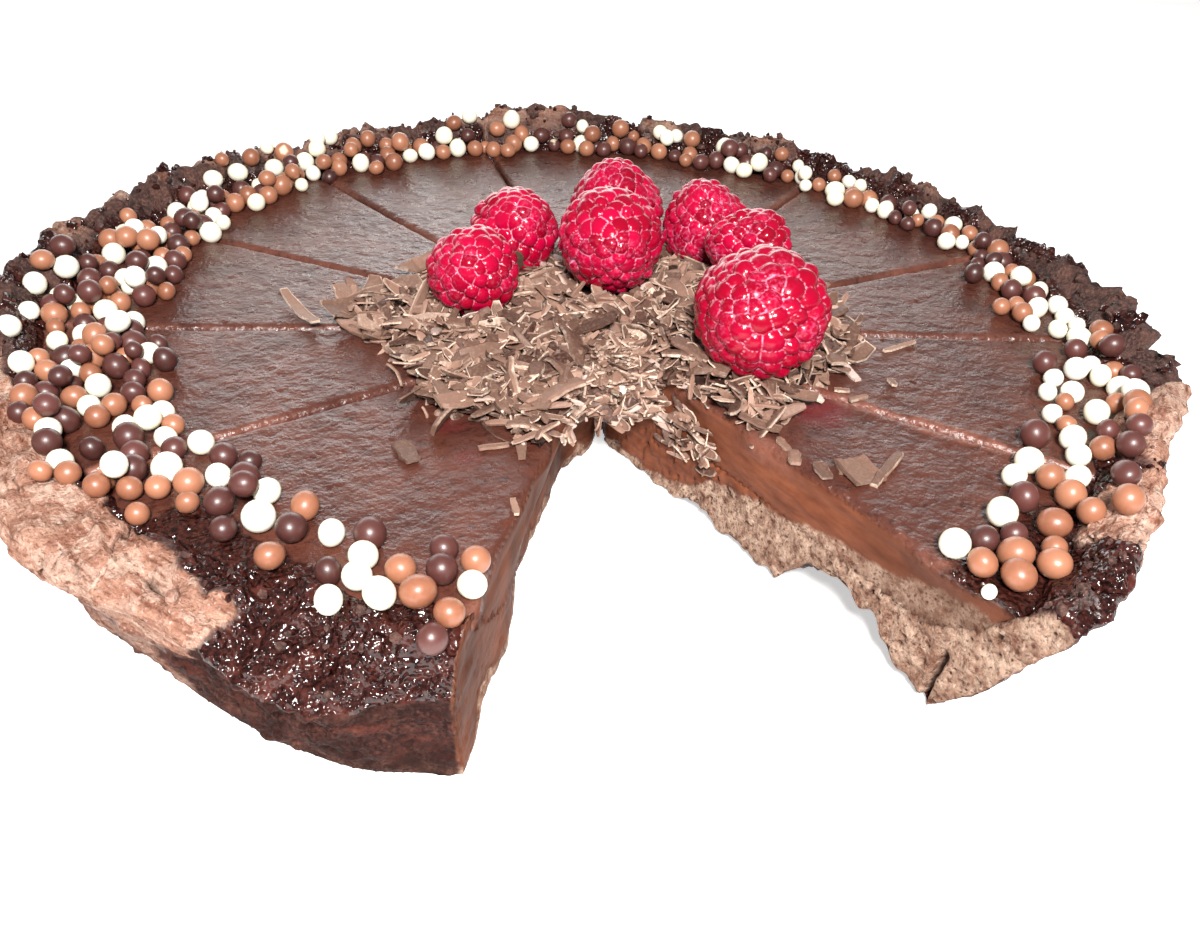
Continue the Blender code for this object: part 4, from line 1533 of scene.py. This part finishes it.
def medium_flakes(heap, ground, rng):
    """Broader flakes that lie on top of the small ones."""
    x, y, level = scatter_flakes(heap, ground, 150, rng)
    count = len(x)
    length = rng.uniform(6, 12, count)
    width = np.clip(length * rng.uniform(0.25, 0.5, count), 1.8, 4.4)
    places = np.stack([x, y, level + rng.uniform(1.0, 2.6, count)], axis=1)
    headings = rng.uniform(0, 2 * np.pi, count)
    leans, rolls = rng.normal(0, 0.22, count), rng.normal(0, 0.4, count)
    thick = rng.uniform(0.35, 0.6, count)
    return flake_set(places, length, width, thick, headings, leans, rolls, rng, 0.6, (0, 0.7))


def gap_edge_flakes(rng):
    """Flakes along both edges of the gap, on the filling's edge and stuck to the faces below."""
    count = 240
    side = rng.choice([0, 1], count, p=[0.35, 0.65])
    low = rng.uniform(0, 1, count) < 0.48
    along = np.where(low, rng.uniform(17, 38, count), rng.uniform(12, 33, count))
    angle = np.radians(np.where(side, CUT_ANGLES[0], CUT_ANGLES[-1] - 360))
    onto = np.where(low, rng.uniform(-1.0, 0.2, count), rng.uniform(-0.8, 3.0, count))
    onto = onto * np.where(side, 1, -1)
    x = CUT_CENTRE[0] + along * np.cos(angle) - onto * np.sin(angle)
    y = CUT_CENTRE[1] + along * np.sin(angle) + onto * np.cos(angle)
    fall = FILLING_TOP - np.where(side, rng.uniform(4, 16, count), rng.uniform(2, 6, count))
    z = np.where(low, fall, FILLING_TOP + rng.uniform(0.5, 1.8, count))
    length = rng.uniform(3, 7, count)
    headings = np.where(low, angle + rng.normal(0, 0.5, count), rng.uniform(0, 2 * np.pi, count))
    leans = rng.normal(0, 0.35, count)
    rolls = np.where(low, np.pi / 2 + rng.normal(0, 0.5, count), rng.normal(0, 0.5, count))
    width = length * rng.uniform(0.2, 0.4, count)
    places = np.stack([x, y, z], axis=1)
    thick = rng.uniform(0.25, 0.45, count)
    flakes = flake_set(places, length, width, thick, headings, leans, rolls, rng)
    pale = (side == 0) & (rng.uniform(0, 1, count) < 0.35)
    return (*flakes[:5], np.where(pale, 1.0, flakes[5]))


def bridge_flakes(rng):
    """Flakes over the lump in the tip of the gap, hanging from its front edge too."""
    count = 420
    along = 1 + GAP_TIP_REACH * np.sqrt(rng.uniform(0, 1, count))
    first, last = CUT_ANGLES[-1] - 360, CUT_ANGLES[0]
    share = rng.uniform(0.04, 0.96, count)
    angle = np.radians(first + (last - first) * share)
    hanging = rng.uniform(0, 1, count) < 0.30
    along = np.where(hanging, GAP_TIP_REACH + rng.uniform(-1.0, 0.8, count), along)
    top = np.interp(along, (0, 7, 16, 21), (31.0, 31.5, 30.2, 27.0))
    z = np.where(hanging, rng.uniform(17.5, 27, count), top + rng.uniform(-0.5, 1.2, count))
    x = CUT_CENTRE[0] + along * np.cos(angle)
    y = CUT_CENTRE[1] + along * np.sin(angle)
    length = rng.uniform(3.5, 8.5, count)
    across = np.radians((first + last) / 2 + 90)
    headings = across + rng.normal(0, 0.8, count)
    leans = rng.normal(0, 0.35, count)
    rolls = np.where(hanging, np.pi / 2 + rng.normal(0, 0.6, count), rng.normal(0, 0.6, count))
    width = length * rng.uniform(0.18, 0.38, count)
    places = np.stack([x, y, z], axis=1)
    return flake_set(places, length, width, rng.uniform(0.25, 0.5, count), headings, leans, rolls, rng)


def loose_flakes(ground, rng):
    """The flakes that lie by themselves on the filling."""
    table = np.array(LOOSE_FLAKES)
    count = len(table)
    level = ground.at(table[:, 0], table[:, 1]) + 0.45
    places = np.stack([table[:, 0], table[:, 1], level], axis=1)
    headings = np.radians(table[:, 4])
    leans, rolls = rng.normal(0, 0.03, count), rng.normal(0, 0.08, count)
    thick = np.full(count, 0.6)
    flakes = flake_set(places, table[:, 2], table[:, 3], thick, headings, leans, rolls, rng, 0.12)
    return (*flakes[:4], flakes[4] * 0.2, table[:, 5])


def flat_slats(ground):
    """The slats, flat on the filling."""
    table = np.array(SLATS)
    zero = np.zeros(len(table))
    level = ground.at(table[:, 0], table[:, 1]) + np.array((0.9, 0.5))
    places = np.stack([table[:, 0], table[:, 1], level], axis=1)
    sizes = np.stack([table[:, 2], table[:, 3], zero + 0.8], axis=1)
    turns = turned(np.radians(table[:, 4]), zero + 0.05, zero - 0.06)
    return places, sizes, turns, zero + 0.10, zero, table[:, 5]


def big_curls(heap, rng):
    """The few big curls that lie on top of the heap."""
    table = np.array(BIG_CURLS)
    count = len(table)
    level = np.maximum(heap.at(table[:, 0], table[:, 1]), FILLING_TOP)
    places = np.stack([table[:, 0], table[:, 1], level + table[:, 2]], axis=1)
    headings = np.radians(table[:, 5])
    leans, rolls = rng.normal(0, 0.06, count), rng.normal(0.25, 0.2, count)
    thick = np.full(count, 0.7)
    flakes = flake_set(places, table[:, 3], table[:, 4], thick, headings, leans, rolls, rng)
    bends = rng.uniform(0.5, 1.2, count) * np.where(rng.uniform(0, 1, count) < 0.75, 1, -1)
    return (*flakes[:3], bends, flakes[4], table[:, 6])


def make_leaf_scraps(material):
    """Dried scraps of leaf between the berries."""
    rng = np.random.default_rng(41)
    table = np.array(LEAF_SCRAPS)
    count = len(table)
    headings, leans = np.radians(table[:, 5]), np.radians(table[:, 6])
    scraps = flake_set(table[:, :3], table[:, 3], table[:, 4], np.full(count, 0.4), headings, leans,
                       rng.normal(0, 0.3, count), rng)
    points, faces, _ = flake_shapes(*scraps[:5], rng, 9, 0.75)
    mesh = mesh_from_arrays("leaf_scraps", points, faces)
    return add_piece("leaf_scraps", mesh, [material], smooth_shading=False)


def make_flakes(name, arrays, stations, taper, material, rng, widths=(0.78, 1.12)):
    *forms, tones = arrays
    points, faces, edge = flake_shapes(*forms, rng, stations, taper, widths)
    mesh = mesh_from_arrays(name, points, faces)
    add_layers(mesh, edge=edge, tone=np.repeat(tones, stations * 6))
    return add_piece(name, mesh, [material], smooth_shading=False)


def joined(*groups):
    """Several sets of flakes as one."""
    return [np.concatenate(parts) for parts in zip(*groups)]


def make_shavings(ground, material):
    """The heap: a core, small flakes over it, a few big curls, and loose flakes round it."""
    rng = np.random.default_rng(31)
    core = make_heap_core(material)
    heap = Ground([core], step=0.8, reach=76.0)
    small = joined(small_flakes(heap, ground, rng), gap_edge_flakes(rng), bridge_flakes(rng))
    flakes = make_flakes("shavings_small", small, 5, 0.62, material, rng)
    large = joined(big_curls(heap, rng), medium_flakes(heap, ground, rng), loose_flakes(ground, rng))
    make_flakes("shavings_large", large, 9, 0.28, material, rng)
    make_flakes("shavings_slats", flat_slats(ground), 9, 0.03, material, rng, (0.96, 1.03))
    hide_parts("shavings")


# ---------------------------------------------------------------- crumbs

def make_crumbs(ground, material):
    """Loose crumbs of crust along the rim and by the cuts."""
    rng = np.random.default_rng(77)
    units, faces = sphere_mesh(1)
    count = 1000
    angles = rng.uniform(0, 360, count)
    angles = angles[(angles < 243) | (angles > 294)]
    rim = on_ring(angles, RIM_RADIUS)
    filling = on_ring(angles, FILLING_RADIUS)
    radii = filling + (rim - filling) * rng.beta(1.6, 1.3, len(angles)) * 0.96
    x, y = radii * np.cos(np.radians(angles)), radii * np.sin(np.radians(angles))
    level = ground.at(x, y)
    keep = level > 15
    for turn in np.arange(0, 2 * np.pi, np.pi / 3):
        keep &= ground.at(x + 1.6 * np.cos(turn), y + 1.6 * np.sin(turn)) > 15
    keep &= (radii < on_ring(angles, LIGHT_CRUST)) | (rng.uniform(0, 1, len(x)) < 0.25)
    x, y, level = x[keep], y[keep], level[keep]
    count = len(x)
    size = np.clip(rng.lognormal(np.log(0.58), 0.4, count), 0.3, 1.4)
    shape = units[None] * rng.uniform(0.72, 1.25, (count, len(units)))[..., None]
    shape = shape * rng.uniform(0.6, 1.2, (count, 3))[:, None, :] * size[:, None, None]
    centres = np.stack([x, y, level + size * 0.4], axis=1)
    points = (centres[:, None, :] + shape).reshape(-1, 3)
    all_faces = (faces[None] + (np.arange(count) * len(units))[:, None, None]).reshape(-1, 3)
    mesh = mesh_from_arrays("crumbs", points, [all_faces])
    bare = smooth(radii[keep] - on_ring(angles[keep], LIGHT_CRUST), 0, 2)
    wet = (rng.uniform(0, 1, count) < 0.45) * (1 - bare)
    each = len(units)
    add_layers(mesh, light=np.repeat(bare, each), wet=np.repeat(wet, each))
    zero = np.zeros(count * each)
    add_layers(mesh, cut=zero, smear=zero, hollow=zero, shade=zero)
    return add_piece("crumbs", mesh, [material], smooth_shading=False)


# ---------------------------------------------------------------- stage

# The room's light: even and dim, with a bright wall low down behind the tart. The wall's limits
# are heights and directions of a unit vector, where it fades in and where it is full.
ROOM_LIGHT = 0.22
WALL_LIGHT = 3.8
WALL_TOP = (0.44, 0.34)
WALL_SIDES = (0.60, 0.92)


def make_floor():
    bm = bmesh.new()
    bmesh.ops.create_grid(bm, x_segments=1, y_segments=1, size=6.0)
    mesh = bpy.data.meshes.new("floor")
    bm.to_mesh(mesh)
    bm.free()
    mesh.materials.append(floor_material())
    floor = bpy.data.objects.new("floor", mesh)
    floor.location.z = -0.0002
    bpy.context.scene.collection.objects.link(floor)


def add_light(name, place, target, size, power, colour=(1, 1, 1)):
    """A square soft light that faces its target. Places are in metres."""
    light = bpy.data.lights.new(name, "AREA")
    light.shape = "SQUARE"
    light.size = size
    light.energy = power
    light.color = colour
    lamp = bpy.data.objects.new(name, light)
    lamp.location = place
    lamp.rotation_euler = (Vector(target) - Vector(place)).to_track_quat("-Z", "Y").to_euler()
    bpy.context.scene.collection.objects.link(lamp)


def make_world():
    """A dim white room with one bright wall low down behind the tart, which gives the filling
    its sheen."""
    world = bpy.data.worlds.new("studio")
    world.use_nodes = True
    tree = world.node_tree
    place = tree.nodes.new("ShaderNodeTexCoord")
    parts = tree.nodes.new("ShaderNodeSeparateXYZ")
    tree.links.new(place.outputs["Generated"], parts.inputs[0])

    def fade(value, low, high, to_low=0.0, to_high=1.0):
        node = tree.nodes.new("ShaderNodeMapRange")
        node.interpolation_type = "SMOOTHSTEP"
        tree.links.new(value, node.inputs["Value"])
        limits = {"From Min": low, "From Max": high, "To Min": to_low, "To Max": to_high}
        for name, limit in limits.items():
            node.inputs[name].default_value = limit
        return node.outputs["Result"]

    share = tree.nodes.new("ShaderNodeMath")
    share.operation = "MULTIPLY"
    tree.links.new(fade(parts.outputs["Z"], *WALL_TOP), share.inputs[0])
    tree.links.new(fade(parts.outputs["Y"], *WALL_SIDES), share.inputs[1])
    strength = fade(share.outputs[0], 0.0, 1.0, ROOM_LIGHT, WALL_LIGHT)
    background = tree.nodes["Background"]
    background.inputs["Color"].default_value = (1.0, 0.99, 0.975, 1.0)
    tree.links.new(strength, background.inputs["Strength"])
    bpy.context.scene.world = world


def make_lights():
    add_light("key", (-0.06, -0.34, 0.33), (0.0, -0.01, 0.02), 0.08, 5.1, (1.0, 0.985, 0.96))
    add_light("back", (0.09, 0.62, 0.27), (0.0, 0.06, 0.03), 0.26, 0.45)


def make_camera():
    camera = bpy.data.cameras.new("camera")
    camera.sensor_width = 36.0
    camera.lens = 32.23
    camera.clip_start = 0.01
    viewer = bpy.data.objects.new("camera", camera)
    forward = Vector((0.21209, 0.78804, -0.57794))
    up = Vector((0.10065, 0.57064, 0.81501))
    right = forward.cross(up).normalized()
    turn = Matrix((right, right.cross(forward), -forward)).transposed()
    viewer.matrix_world = Matrix.Translation((-0.04665, -0.20205, 0.13776)) @ turn.to_4x4()
    bpy.context.scene.collection.objects.link(viewer)
    bpy.context.scene.camera = viewer
    bpy.context.scene.view_settings.view_transform = "Standard"


def main():
    make_camera()
    make_world()
    make_lights()
    make_floor()
    crumb = crust_material("crust", 0.45, (0.10, 0.26))
    crusts = make_crust((crumb, crust_material("crust_dull", 0.06, (0.45, 0.62))))
    fillings = make_ganache((ganache_material("ganache", 0.5), ganache_material("ganache_cut", 0.06)))
    make_berries(raspberry_material())
    ground = Ground(crusts + fillings)
    pearl_materials = {
        "white": pearl_material("white", (0.90, 0.87, 0.74), (0.84, 0.79, 0.60), (0.7, 0.6, 0.4)),
        "milk": pearl_material("milk", (0.38, 0.158, 0.088), (0.22, 0.078, 0.041), (0.75, 0.62, 0.45)),
        "dark": pearl_material("dark", (0.105, 0.033, 0.028), (0.042, 0.013, 0.011), (0.6, 0.5, 0.35)),
    }
    make_pearls(ground, pearl_materials)
    make_shavings(ground, shavings_material())
    make_leaf_scraps(leaf_material())
    make_crumbs(ground, crumb)


main()
